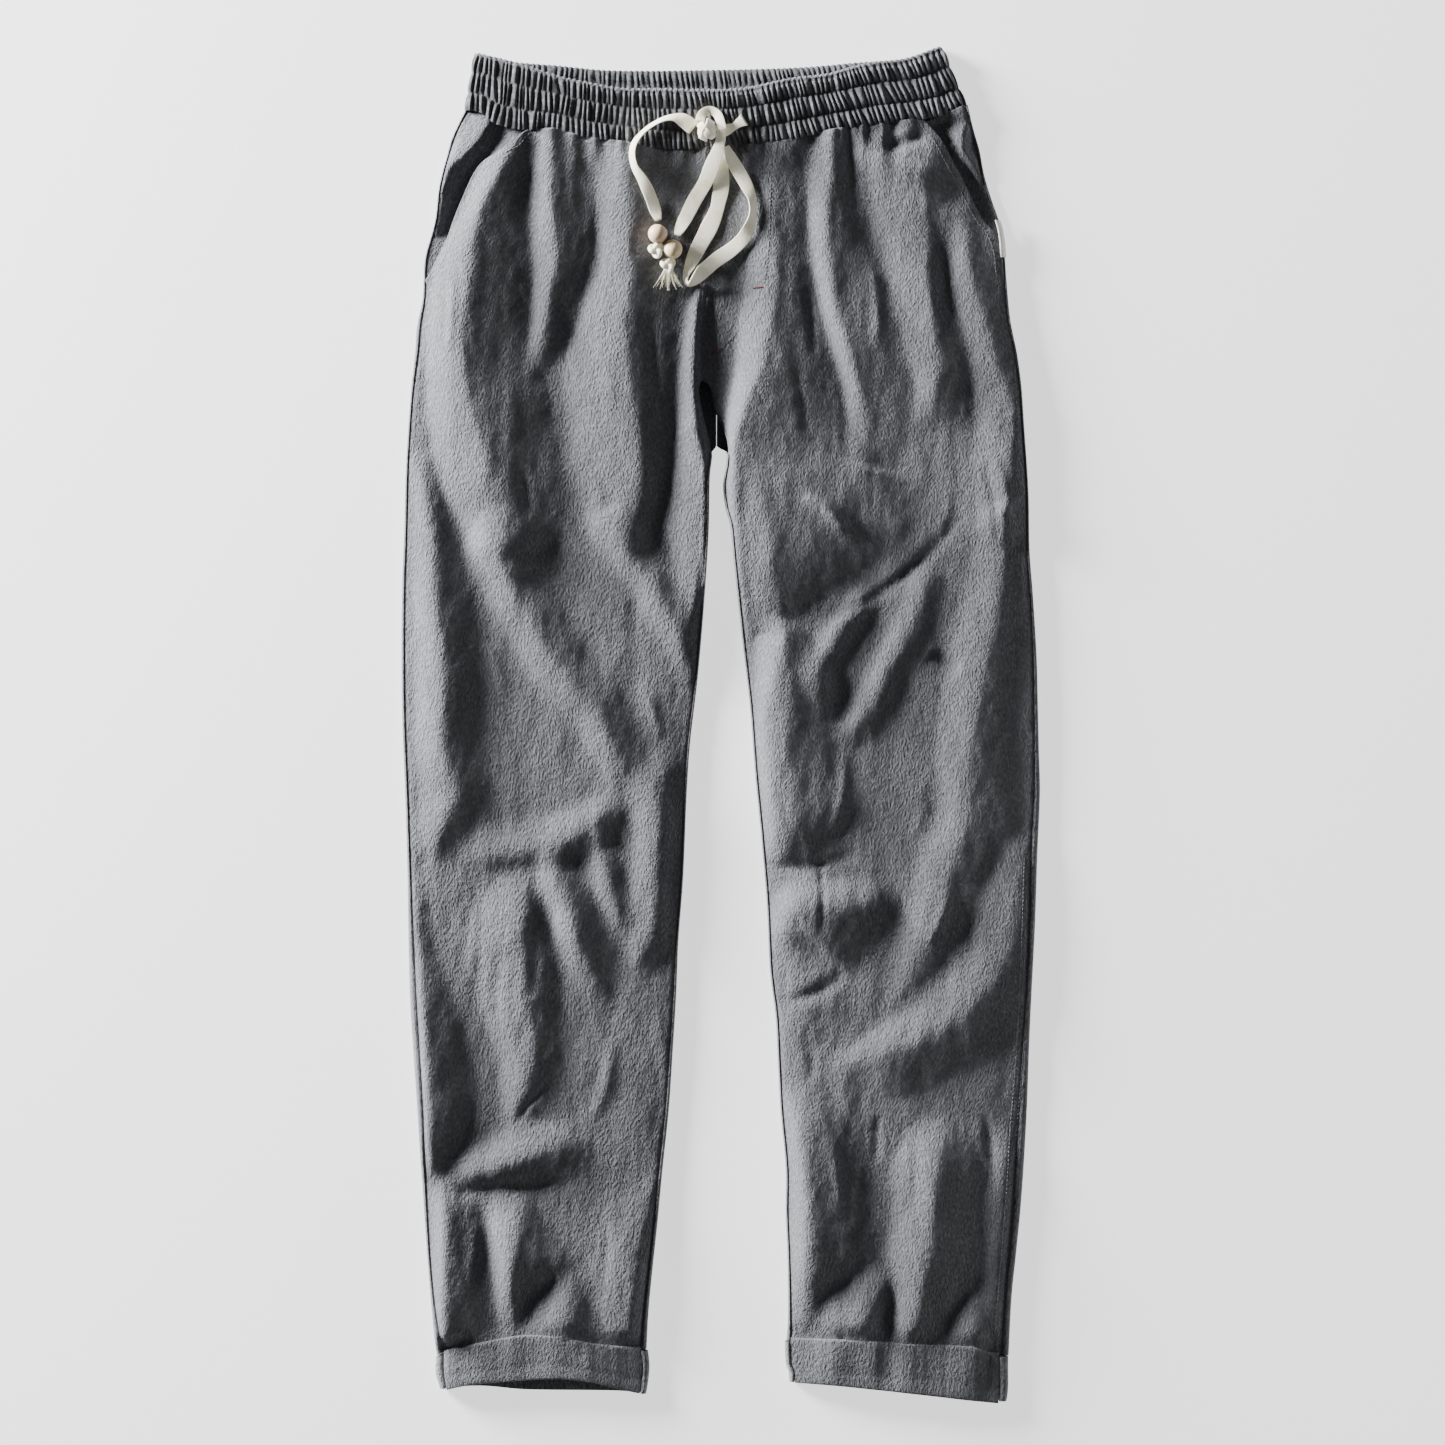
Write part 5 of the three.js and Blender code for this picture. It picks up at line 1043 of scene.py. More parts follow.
def band_path(columns):
    """The band's way round: front from side to side, a half turn, the back, and a half turn again.

    Gives for each column its share of the way across, its angle round the turn and how far it stands out.
    """
    front = np.linspace(0, 1, columns["front"], endpoint=False)
    turn = np.linspace(0, 1, columns["turn"], endpoint=False)
    back = np.linspace(0, 1, columns["back"], endpoint=False)
    share = np.concatenate([front, np.ones_like(turn), 1 - back, np.zeros_like(turn)])
    angle = np.concatenate([0 * front, np.pi * turn, np.pi + 0 * back, np.pi * (1 - turn)])
    outward = np.concatenate([0 * front, np.sin(np.pi * turn), 0 * back, -np.sin(np.pi * turn)])
    return share, angle, outward


def gather_profile(phase):
    """One gather for each unit of phase: rounded crests and keen slits, a power of half a sine."""
    return (np.abs(np.sin(np.pi * phase)) + 0.003) ** 0.7


def wander(position, seed, size):
    """Seeded smooth noise along a line, for the uneven spacing of gathers."""
    rng = np.random.default_rng(seed)
    knots = rng.uniform(-1, 1, 600)
    place = position / size + 40
    i = np.floor(place).astype(int) % 597
    t = ease(place - np.floor(place))
    return mix(knots[i], knots[i + 1], t)


def band_gathers(count, share, channels):
    """Rise of the gathers: each channel has its own row of them, pinched where the stitches hold it."""
    total = 0
    for seed, (low, high) in enumerate(channels):
        inside = np.clip((share - low) / (high - low), 0, 1)
        swell = np.sin(np.pi * inside) ** 0.45 * (share >= low) * (share <= high)
        phase = count + 0.42 * wander(count, 30 + seed, 1.6) + 0.8 * wander(count, 40 + seed, 6.0)
        lean = 0.5 * wander(count, 50 + seed, 2.3) * (inside - 0.5)
        uneven = 0.72 + 0.28 * wander(count, 60 + seed, 0.9)
        total = total + swell * uneven * gather_profile(phase + lean + 0.37 * seed)
    return total


def waistband_points(sizes):
    """Elastic waistband, all round: gathered cloth over its top fold and down inside."""
    columns = {name: count * BAND_STEPS_A_GATHER for name, count in BAND_GATHERS.items()}
    columns["turn"] = 2 * BAND_STEPS_A_GATHER
    share, angle, outward = band_path(columns)
    foot_x, top_x = (
        mix(rows["x"][0] + BAND_TURN, rows["x"][-1] - BAND_TURN, share)
        for rows in (BAND_FOOT_FRONT, BAND_TOP_FRONT)
    )
    to_back = (1 - np.cos(angle)) / 2
    foot_y = mix(foot_of_front_band(foot_x), foot_of_back_band(foot_x), to_back) - BAND_TUCK
    peak_y = mix(curve_of(BAND_TOP_FRONT, "x", "y")(top_x), curve_of(BAND_TOP_BACK, "x", "y")(top_x), to_back)
    plain = mix(band_hollow(foot_x) + BAND_WALL, BAND_UNDERSIDE, to_back)
    count = np.arange(len(share)) / BAND_STEPS_A_GATHER
    outer = np.linspace(0, 1, BAND_ROWS)
    over = np.linspace(0, np.pi, 6)[1:-1]
    inner = np.linspace(1, 0, 12)
    rise = np.concatenate([outer, 1 + 0.012 * np.sin(over), inner])[:, None]
    depth = np.concatenate([0 * outer, 0.5 - 0.5 * np.cos(over), 0 * inner + 1])[:, None]
    gathered = band_gathers(count[None, :], np.clip(rise, 0, 1), FRONT_CHANNELS)
    pressed = band_gathers(count[None, :] + 0.3, np.clip(rise, 0, 1), BACK_CHANNELS)
    lift = mix(gathered * sizes.gather_height / MM, pressed * BACK_GATHER_HEIGHT, to_back[None, :])
    lift = lift * (1 - GATHERS_LOST * ease((rise - GATHERS_END) / GATHERS_FADE))
    lift = lift + TOP_ROLL * np.exp(-(((rise - TOP_ROLL_AT) / TOP_ROLL_WIDTH) ** 2)) * (1 - to_back)[None, :]
    seam_dip = 0.5 * np.exp(-((rise / 0.05) ** 2))
    sway = 0.5 * np.sin(count / 5.1)[None, :] * np.sin(np.pi * np.clip(rise, 0, 1))
    inward = depth * BAND_WALL * np.cos(angle)[None, :]
    z = plain[None, :] + lift - seam_dip + sway * (1 - to_back)[None, :] - inward
    stand_out = BAND_TURN + 0.7 * lift - depth * BAND_WALL
    x = mix(foot_x, top_x, np.clip(rise, 0, 1)) + outward[None, :] * stand_out
    scallop = 0.35 * np.sin(2 * np.pi * count + 0.8)[None, :] * np.exp(-(((rise - 1) / 0.08) ** 2))
    y = mix(foot_y, peak_y, rise) + scallop
    return np.stack([x, y, np.maximum(z, FLAT_LIFT)], -1)


LAY_GAP = 0.25
LOOK_DOWN_FROM = 200

# Tape: spacing of its stations, and how many of them its rise is taken over, for the peak and for the mean.
TAPE_STEP = 1.5
PEAK_STATIONS = 7
MEAN_STATIONS = 9
TAPE_SQUARENESS = 0.38
WRAP_SQUARENESS = 0.45


def laid_tree(pieces):
    """A search tree over finished pieces, for finding what lies under a point."""
    vertices, faces, start = [], [], 0
    for piece in pieces:
        mesh = piece.data
        co = np.empty(len(mesh.vertices) * 3, np.float32)
        mesh.vertices.foreach_get("co", co)
        corners = np.empty(len(mesh.loops), np.int32)
        mesh.loops.foreach_get("vertex_index", corners)
        vertices.append(co.reshape(-1, 3) / MM + OUTLINE_CENTRE)
        faces.append(corners.reshape(-1, 4) + start)
        start += len(mesh.vertices)
    return BVHTree.FromPolygons(np.concatenate(vertices).tolist(), np.concatenate(faces).tolist())


def height_under(tree, x, y):
    """Height of whatever is laid so far, straight under a point, in millimetres."""
    hit = tree.ray_cast(Vector((x, y, LOOK_DOWN_FROM)), Vector((0, 0, -1)))[0]
    return hit.z if hit else 0.0


def run_along(x, y):
    """Running length along a line of points, from 0."""
    return np.concatenate([[0], np.cumsum(np.hypot(np.diff(x), np.diff(y)))])


def windows(values, width):
    """Each value with its neighbours, one row for each place in a window of that width."""
    padded = np.pad(values, width // 2, mode="edge")
    return [padded[i:i + len(values)] for i in range(width)]


def tape_stations(route, sizes, tree):
    """Places along a tape's route, laid on what is under its whole width, and evened out along it."""
    route = dict(route, at=np.arange(len(route["x"]), dtype=float))
    read = {name: curve_of(route, "at", name) for name in ROUTE_COLUMNS}
    dense = np.linspace(0, len(route["x"]) - 1, 600)
    run = run_along(read["x"](dense), read["y"](dense))
    at = np.interp(np.linspace(0, run[-1], int(run[-1] / TAPE_STEP) + 1), run, dense)
    x, y = read["x"](at), read["y"](at)
    ahead = np.stack([np.gradient(x), np.gradient(y)], -1)
    ahead /= np.linalg.norm(ahead, axis=-1, keepdims=True)
    side = np.stack([-ahead[:, 1], ahead[:, 0]], -1)
    turn = np.radians(read["turn"](at))
    half_width = sizes.tape_width / MM * read["width"](at) / 2
    half_wall = sizes.tape_thickness / MM / 2
    reach = half_width * np.cos(turn) + half_wall * np.sin(turn)
    up = half_width * np.sin(turn) + half_wall * np.cos(turn)
    under = np.array([
        max(height_under(tree, px + s * share * r, py + t * share * r) for share in np.linspace(-1, 1, 7))
        for px, py, (s, t), r in zip(x, y, side, reach)
    ])
    rest = under + up
    peak = np.max(windows(rest, PEAK_STATIONS), 0)
    level = np.mean(windows(peak, MEAN_STATIONS), 0)
    z = np.maximum(level, rest) + LAY_GAP + read["lift"](at)
    return {
        "x": x, "y": y, "z": z, "side": side, "turn": turn, "half_width": half_width, "half_wall": half_wall,
    }


def oblong(angle, power):
    """A circle drawn towards an oblong: the cosine and the sine of an angle, each to a power, signs kept."""
    return [np.sign(wave(angle)) * np.abs(wave(angle)) ** power for wave in (np.cos, np.sin)]


def tape_points(stations, sides=20):
    """A flat woven tape along its stations: a rounded oblong section, dished a little and edge-ribbed."""
    across, up = oblong(np.linspace(0, 2 * np.pi, sides, endpoint=False)[None, :], TAPE_SQUARENESS)
    along = np.arange(len(stations["x"]))[:, None]
    wave = 0.05 * np.sin(along / 5.3) + 0.04 * np.sin(along / 2.9 + 1)
    a = across * stations["half_width"][:, None] * (1 + wave)
    dish = 0.3 * (across**2 - 0.5) * np.clip(stations["half_width"][:, None] / 4, 0, 1)
    b = up * stations["half_wall"] * (1 - 0.25 * (np.abs(across) > 0.8)) + dish
    turn = stations["turn"][:, None]
    sideways = a * np.cos(turn) - b * np.sin(turn)
    z = stations["z"][:, None] + a * np.sin(turn) + b * np.cos(turn)
    side = stations["side"]
    x = stations["x"][:, None] + side[:, :1] * sideways
    y = stations["y"][:, None] + side[:, 1:] * sideways
    return np.stack([x, y, z], -1)


def capped(points):
    """A tube's rings with both ends drawn in to a point, so that it is closed."""
    first = points[:1].mean(1, keepdims=True) + 0 * points[:1]
    last = points[-1:].mean(1, keepdims=True) + 0 * points[-1:]
    near_first = mix(points[:1], first, 0.25)
    near_last = mix(points[-1:], last, 0.25)
    return np.concatenate([first, near_first, points, near_last, last], 0)


def turned(points, degrees, centre):
    """Points turned about the upright axis and then moved to a centre."""
    c, s = math.cos(math.radians(degrees)), math.sin(math.radians(degrees))
    x, y, z = np.moveaxis(points, -1, 0)
    return np.stack([x * c - y * s, x * s + y * c, z], -1) + np.array(centre)


def ring_closed(points):
    """A grid whose rows run round, closed by its first row."""
    return np.concatenate([points, points[:1]], 0)


def knotted_tube(centre, size, tube, turn, steps=96, sides=12, flat=0.75):
    """An overhand knot: a tube along the trefoil, whose three lobes pass over and under each other."""
    t = np.linspace(0, 2 * np.pi, steps, endpoint=False)
    line = np.stack([np.sin(t) + 2 * np.sin(2 * t), np.cos(t) - 2 * np.cos(2 * t), -np.sin(3 * t)], -1)
    line = line * np.array(size) / np.array([3.0, 3.0, 1.0])
    ahead = np.roll(line, -1, 0) - np.roll(line, 1, 0)
    ahead /= np.linalg.norm(ahead, axis=-1, keepdims=True)
    side = np.cross(ahead, np.array([0.0, 0.0, 1.0]))
    side /= np.linalg.norm(side, axis=-1, keepdims=True)
    up = np.cross(side, ahead)
    angle = np.linspace(0, 2 * np.pi, sides, endpoint=False)[None, :, None]
    ring = side[:, None] * np.cos(angle) * tube + up[:, None] * np.sin(angle) * tube * flat
    return turned(line[:, None] + ring, turn, centre)


def wrapped_band(centre, radii, turn, tilt, width, wall):
    """A turn of tape round a knot: a flat section carried round an ellipse that is tilted and turned."""
    angle = np.linspace(0, 2 * np.pi, 64)
    ring = np.stack([radii[0] * np.cos(angle), 0 * angle, radii[1] * np.sin(angle)], -1)
    outward = np.stack([np.cos(angle) / radii[0], 0 * angle, np.sin(angle) / radii[1]], -1)
    outward /= np.linalg.norm(outward, axis=-1, keepdims=True)
    across, up = oblong(np.linspace(0, 2 * np.pi, 16, endpoint=False)[None, :], WRAP_SQUARENESS)
    crease = 1 + 0.12 * np.sin(4 * angle + width)[:, None]
    points = ring[:, None] + outward[:, None] * (up * wall / 2)[..., None]
    points[..., 1] += across * width / 2 * crease + 0.9 * np.sin(angle + 0.7)[:, None]
    c, s = math.cos(math.radians(tilt)), math.sin(math.radians(tilt))
    x, y, z = np.moveaxis(points, -1, 0)
    return turned(np.stack([x, y * c - z * s, y * s + z * c], -1), turn, centre)


def egg_points(centre, radii, turn, rings=24, sides=32, dents=0.06):
    """A lumpy ball: an ellipsoid whose skin rises and falls with a few slow waves."""
    lat = np.linspace(0, np.pi, rings)[:, None]
    lon = np.linspace(0, 2 * np.pi, sides, endpoint=False)[None, :]
    swell = 1 + dents * np.sin(3 * lon + 2 * lat) * np.sin(lat) + dents * np.cos(5 * lat) * np.sin(lat)
    x = radii[0] * np.sin(lat) * np.cos(lon) * swell
    y = radii[1] * np.sin(lat) * np.sin(lon) * swell
    z = radii[2] * np.cos(lat) * swell + 0 * lon
    return turned(np.stack([x, y, z], -1), turn, centre)


def bead_points(bead, radius, hole, rest):
    """A turned bead: a ball's profile from one lip of its hole to the other and back through it."""
    lip = math.asin(hole / radius)
    angle = np.linspace(lip, np.pi - lip, 30)
    round_ = np.stack([radius * np.sin(angle), -radius * np.cos(angle)], -1)
    soft = np.linspace(0, np.pi / 2, 4)[1:]
    lip_radius = 0.45
    ends = math.sqrt(radius**2 - hole**2)
    down = np.stack([hole + lip_radius * (1 - np.sin(soft)), ends - lip_radius * (1 - np.cos(soft))], -1)
    bore = np.stack([np.full(6, hole), np.linspace(ends - 1, -ends + 1, 6)], -1)
    up = down[::-1] * np.array([1, -1])
    profile = np.concatenate([round_, down, bore, up])
    lon = np.linspace(0, 2 * np.pi, 40, endpoint=False)[None, :]
    r, axial = profile[:, :1], profile[:, 1:]
    points = np.stack([axial + 0 * lon, r * np.cos(lon), r * np.sin(lon)], -1)
    return turned(points, bead["heading"], (bead["x"], bead["y"], rest))


BEADS = {
    "bead_left": {"x": -46.6, "y": 355.6, "heading": 264, "finish": "waxed beech, pinkish"},
    "bead_right": {"x": -35.8, "y": 344.8, "heading": 246, "finish": "waxed beech, pale"},
}
BEAD_HOLE = 2.4

# The drawstring's knot, and the turns of tape round it: how far each stands out across and upwards, its
# turn and tilt in degrees, and its width.
KNOT = {"x": -11, "y": 430.5, "radii": (7.0, 5.4, 4.2), "turn": 20}
KNOT_WRAPS = [((0.3, 0.4), 62, 14, 6.4), ((0.2, 0.9), 128, -10, 5.2)]
WRAP_WALL = 1.3
END_KNOTS = {
    "end_knot_left": {"x": -47.8, "y": 344.15, "turn": 15},
    "end_knot_right": {"x": -39.12, "y": 333.56, "turn": 10},
}
END_KNOT_SIZE = (4.3, 4.6, 2.2)
END_KNOT_TUBE = 1.9
END_KNOT_REACH = 4
END_KNOT_HEIGHT = 3.4

# Frayed end: its strands fan out below the end knot, over the highest thing within reach of its middle.
STRANDS = 38
FAN_DEGREES = 52
FRAY_DROP = 9
FRAY_REACH = 8
FRAY_LIFT = 1.6


def ball_rest(tree, x, y, radius):
    """Height of a ball's centre at rest on what is under it: the highest that any ring of it asks for."""
    best = 0
    for share in (0, 0.3, 0.6, 0.85):
        for angle in np.linspace(0, 2 * np.pi, 12, endpoint=False):
            run = share * radius
            under = height_under(tree, x + run * math.cos(angle), y + run * math.sin(angle))
            best = max(best, under + math.sqrt(radius**2 - run**2))
    return best + LAY_GAP


def box_rest(tree, x, y, reach):
    """Height of the highest thing under a square round a point."""
    steps = np.linspace(-reach, reach, 7)
    return max(height_under(tree, x + dx, y + dy) for dx in steps for dy in steps)


def strand_points(foot, angle, length, radius, sag, seed):
    """One thread of a frayed end: a thin tube that bends away at random and thins to its tip."""
    rng = np.random.default_rng(seed)
    t = np.linspace(0, 1, 9)[:, None]
    bend = rng.uniform(-0.5, 0.5)
    way = angle + bend * t
    x = foot[0] + np.cumsum(np.cos(way) * length / 9, 0)
    y = foot[1] + np.cumsum(np.sin(way) * length / 9, 0)
    z = foot[2] - sag * t**1.5 + rng.uniform(-0.4, 0.9) * t
    turn = np.radians([0, 120, 240])[None, :]
    thin = radius * (1 - 0.5 * t)
    side = np.stack([-np.sin(way), np.cos(way)], -1)
    points = np.stack([
        x + side[..., 0] * np.cos(turn) * thin,
        y + side[..., 1] * np.cos(turn) * thin,
        z + np.sin(turn) * thin,
    ], -1)
    return points


def fray_points(end, low):
    """The strands of a frayed end: fanned out evenly, of lengths and heights that rise and fall as sines."""
    last = STRANDS - 1
    return [
        strand_points((end["x"] - 2.5 + 5 * i / last, end["y"] - 2.5, low + 0.8 * math.sin(2.4 * i)),
                      math.radians(-90 + FAN_DEGREES * (i / last - 0.5)), 12 + 4.5 * math.sin(1.7 * i),
                      0.42, 1.2, 70 + i)
        for i in range(STRANDS)
    ]


STITCH_PITCH = 3.0
STITCH_LENGTH = 2.3
THREAD_LIFT = 0.1


def stitch_points(start, end, width, wall):
    """One stitch: a thread that dips into the cloth at both ends, in a section of six sides."""
    t = np.array([0, 0.2, 0.5, 0.8, 1.0])[:, None]
    swell = np.array([0.35, 0.9, 1.0, 0.9, 0.35])[:, None]
    line = start + (end - start) * t
    line = line + np.array([0, 0, 1]) * (wall * np.sin(np.pi * t) ** 0.6 - 0.15)
    ahead = (end - start) / np.linalg.norm(end - start)
    side = np.cross(ahead, [0, 0, 1])
    turn = np.radians(np.arange(0, 360, 60))[None, :]
    ring = (side[None, None] * np.cos(turn)[..., None] * width / 2
            + np.array([0, 0, 1])[None, None] * np.sin(turn)[..., None] * wall / 2)
    return line[:, None] + ring * swell[..., None]


def thread_height(x, y):
    """Height of a thread that lies on the front."""
    return read_field(field()["front"], x, y) + THREAD_LIFT


def stitches_along(x, y, width=0.45, wall=0.35):
    """Stitches at an even pitch along a line of points on the front."""
    run = run_along(x, y)
    starts = np.arange(0.5, run[-1] - STITCH_LENGTH, STITCH_PITCH)
    ends = []
    for at in (starts, starts + STITCH_LENGTH):
        px, py = np.interp(at, run, x), np.interp(at, run, y)
        ends.append(np.stack([px, py, thread_height(px, py)], -1))
    return [stitch_points(p, q, width, wall) for p, q in zip(*ends)]


def linear(hex_colour):
    """An sRGB hex colour as linear RGBA."""
    channels = [int(hex_colour[i:i + 2], 16) / 255 for i in (1, 3, 5)]
    return tuple(c / 12.92 if c <= 0.04045 else ((c + 0.055) / 1.055) ** 2.4 for c in channels) + (1.0,)


def add_node(material, kind, links=None, values=None, **settings):
    """Adds a node with its settings, its sockets' values and the links into it."""
    node = material.node_tree.nodes.new(kind)
    for name, value in settings.items():
        setattr(node, name, value)
    for name, value in (values or {}).items():
        node.inputs[name].default_value = value
    for name, source in (links or {}).items():
        material.node_tree.links.new(source, node.inputs[name])
    return node


def new_material(name, roughness, sheen=0.0, specular=0.3):
    """An empty finish: its material, its shader and its Object coordinates."""
    material = bpy.data.materials.new(name)
    material.use_nodes = True
    material.node_tree.nodes.clear()
    shader = add_node(material, "ShaderNodeBsdfPrincipled", values={
        "Roughness": roughness, "Sheen Weight": sheen, "Sheen Roughness": 0.5, "Specular IOR Level": specular,
    })
    add_node(material, "ShaderNodeOutputMaterial", {"Surface": shader.outputs["BSDF"]})
    place = add_node(material, "ShaderNodeTexCoord")
    return material, shader, place


def ramp(material, source, stops):
    """A colour ramp from a value, with (position, colour) stops."""
    node = add_node(material, "ShaderNodeValToRGB", {"Fac": source})
    while len(node.color_ramp.elements) < len(stops):
        node.color_ramp.elements.new(0.5)
    for element, (position, colour) in zip(node.color_ramp.elements, stops):
        element.position = position
        element.color = colour
    return node.outputs["Color"]


def toned(material, shader, source, stops):
    """Colours a shader by a ramp of a value, with (position, hex colour) stops."""
    colour = ramp(material, source, [(position, linear(tone)) for position, tone in stops])
    material.node_tree.links.new(colour, shader.inputs["Base Color"])


def raised(material, shader, source, strength, distance):
    """Gives a shader the relief of a value, as bump of that height in metres."""
    bump = add_node(material, "ShaderNodeBump", {"Height": source},
                    {"Strength": strength, "Distance": distance})
    material.node_tree.links.new(bump.outputs["Normal"], shader.inputs["Normal"])


def combined(material, operation, first, second, third=None):
    """A sum or product of values, each a socket or a number."""
    sockets = {i: value for i, value in enumerate((first, second, third)) if value is not None}
    links = {i: value for i, value in sockets.items() if isinstance(value, bpy.types.NodeSocket)}
    values = {i: value for i, value in sockets.items() if i not in links}
    return add_node(material, "ShaderNodeMath", links, values, operation=operation).outputs[0]


def crossed_waves(material, uv, turns, pitch, distortion, **more):
    """A weave: two sets of sine waves of that pitch in metres, each turned by its angle, multiplied."""
    threads = []
    for turn in turns:
        turned_uv = add_node(material, "ShaderNodeMapping", {"Vector": uv},
                             {"Rotation": (0, 0, turn), "Scale": (1 / pitch, 1 / pitch, 1)})
        wave = add_node(material, "ShaderNodeTexWave", {"Vector": turned_uv.outputs["Vector"]},
                        {"Scale": math.pi / 10, "Distortion": distortion, "Detail": 1.0, **more})
        threads.append(wave.outputs["Fac"])
    return combined(material, "MULTIPLY", *threads)


WEAVE_PITCH = 0.0011

# Crepe: how each layer leans, in radians, and its cell in metres.
CREPE_LAYERS = [(0.3, (0.0012, 0.0027, 1)), (-0.25, (0.0019, 0.0038, 1))]


def woven_cloth(name, dark, mean, light, slub):
    """Washed linen and cotton plain weave: matt, with a crepe crinkle that catches the light.

    Crepe: two layers of noise drawn out along the warp and leaning either way. Weave: two crossed sine waves.
    Tone: the crepe and a broad noise, added, through a ramp.
    """
    material, shader, place = new_material(name, 0.92, sheen=0.2, specular=0.12)
    uv = place.outputs["UV"]
    crepe = []
    for lean, cell in CREPE_LAYERS:
        drawn = add_node(material, "ShaderNodeMapping", {"Vector": uv},
                         {"Rotation": (0, 0, lean), "Scale": cell}, vector_type="TEXTURE")
        noise = add_node(material, "ShaderNodeTexNoise", {"Vector": drawn.outputs["Vector"]},
                         {"Scale": 1.0, "Detail": 2.0, "Roughness": 0.5, "Distortion": 0.1})
        crepe.append(noise.outputs["Fac"])
    broad = add_node(material, "ShaderNodeTexNoise", {"Vector": place.outputs["Object"]},
                     {"Scale": 1 / 0.03, "Detail": 4.0, "Roughness": 0.6})
    half = combined(material, "MULTIPLY", combined(material, "ADD", *crepe), 0.5)
    worn = combined(material, "MULTIPLY_ADD", broad.outputs["Fac"], 0.3, half)
    toned(material, shader, worn, [(0.45, dark), (0.65, mean), (0.85, light)])
    weave = crossed_waves(material, uv, (0, math.pi / 2), WEAVE_PITCH, 0.6, **{"Detail Scale": 0.4})
    fine = combined(material, "MULTIPLY", weave, 0.08)
    raised(material, shader, combined(material, "MULTIPLY_ADD", half, slub, fine), 1.0, 0.001)
    return material


# Painted light: a glow in the tapes' own colour, which brightens them beyond what the lamps give.
PAINTED_TAPE_GLOW = 0.12


def woven_tape(name, dark, light):
    """Unbleached cotton tape: ribs that slant either way, as crossed waves, creamy with yellower threads, and
    a painted glow that brightens it.
    """
    material, shader, place = new_material(name, 0.85, sheen=0.2, specular=0.2)
    tone = add_node(material, "ShaderNodeTexNoise", {"Vector": place.outputs["Object"]},
                    {"Scale": 1 / 0.012, "Detail": 4.0, "Roughness": 0.6})
    toned(material, shader, tone.outputs["Fac"], [(0.3, dark), (0.62, light)])
    # Painted glow: the tape emits its own light colour, as if more light fell on it.
    shader.inputs["Emission Color"].default_value = linear(light)
    shader.inputs["Emission Strength"].default_value = PAINTED_TAPE_GLOW
    slants = (math.radians(38), math.radians(-38))
    raised(material, shader, crossed_waves(material, place.outputs["UV"], slants, 0.0009, 0.8), 0.7, 0.0003)
    return material


def turned_wood(name, dark, light):
    """Waxed pale hardwood, turned: noise drawn out into a fine grain, smooth with a soft gloss."""
    material, shader, place = new_material(name, 0.42, specular=0.45)
    stretched = add_node(material, "ShaderNodeMapping", {"Vector": place.outputs["Object"]},
                         {"Scale": (1 / 0.0016, 1 / 0.008, 1 / 0.0016)})
    grain = add_node(material, "ShaderNodeTexNoise", {"Vector": stretched.outputs["Vector"]},
                     {"Scale": 1.0, "Detail": 5.0, "Roughness": 0.6, "Distortion": 0.6})
    toned(material, shader, grain.outputs["Fac"], [(0.35, dark), (0.65, light)])
    raised(material, shader, grain.outputs["Fac"], 0.25, 0.0002)
    return material


def spun_thread(name, dark, light):
    """Polyester sewing thread: a fine uneven twist, as noise, with a faint shine."""
    material, shader, place = new_material(name, 0.6, sheen=0.1, specular=0.3)
    twist = add_node(material, "ShaderNodeTexNoise", {"Vector": place.outputs["Object"]},
                     {"Scale": 1 / 0.0006, "Detail": 2.0})
    toned(material, shader, twist.outputs["Fac"], [(0.35, dark), (0.65, light)])
    raised(material, shader, twist.outputs["Fac"], 0.5, 0.0001)
    return material


def studio_paper(name, colour):
    """Matt studio paper: even and pale, with a glow that stands for the room's light on it."""
    material, shader, _ = new_material(name, 0.95, specular=0.1)
    shader.inputs["Base Color"].default_value = linear(colour)
    shader.inputs["Emission Color"].default_value = (1, 1, 1, 1)
    shader.inputs["Emission Strength"].default_value = FLOOR_GLOW
    return material


# Finishes and height maps, kept as they are made.
made = {}

# Pieces that a tape, a knot or a bead may lie on.
laid = []


def field():
    """The height maps, worked out once."""
    if "fields" not in made:
        made["fields"] = build_fields()
    return made["fields"]


CLOTH = "washed linen-cotton plain weave"
INSIDE = "inside of the linen-cotton"
TAPE = "unbleached cotton herringbone tape"
THREAD = "grey polyester sewing thread"
TACK_THREAD = "dark red bar-tack thread"
LABEL_TAPE = "white satin-woven label"
PAPER = "matt white studio paper"


def finish_of(name):
    """A finish by its name, made once from the scene's colours."""
    tones = bpy.context.scene.trouser_tones
    makers = {
        CLOTH: (woven_cloth, tones.cloth_dark, tones.cloth, tones.cloth_light, 2.0),
        INSIDE: (woven_cloth, tones.inside_dark, tones.inside, tones.inside_light, 1.5),
        TAPE: (woven_tape, tones.tape_dark, tones.tape),
        "waxed beech, pale": (turned_wood, "#d8bf92", "#f0dfbd"),
        "waxed beech, pinkish": (turned_wood, "#c9a68c", "#e3c8ae"),
        # The label is made as a tape, so it has the tape's painted glow too.
        LABEL_TAPE: (woven_tape, "#dcdbd7", "#f2f1ee"),
        THREAD: (spun_thread, "#5c5d60", "#8b8c90"),
        TACK_THREAD: (spun_thread, "#4a1c24", "#7c323d"),
        PAPER: (studio_paper, tones.floor),
    }
    if name not in made:
        maker, *settings = makers[name]
        made[name] = maker(name, *settings)
    return made[name]


def length_of(name, description, default):
    """A length that a user would change, in metres."""
    return bpy.props.FloatProperty(name=name, description=description, default=default, unit="LENGTH")


def tone_of(name, description, default):
    """A colour that a user would change, as an sRGB hex value."""
    return bpy.props.StringProperty(name=name, description=description, default=default)


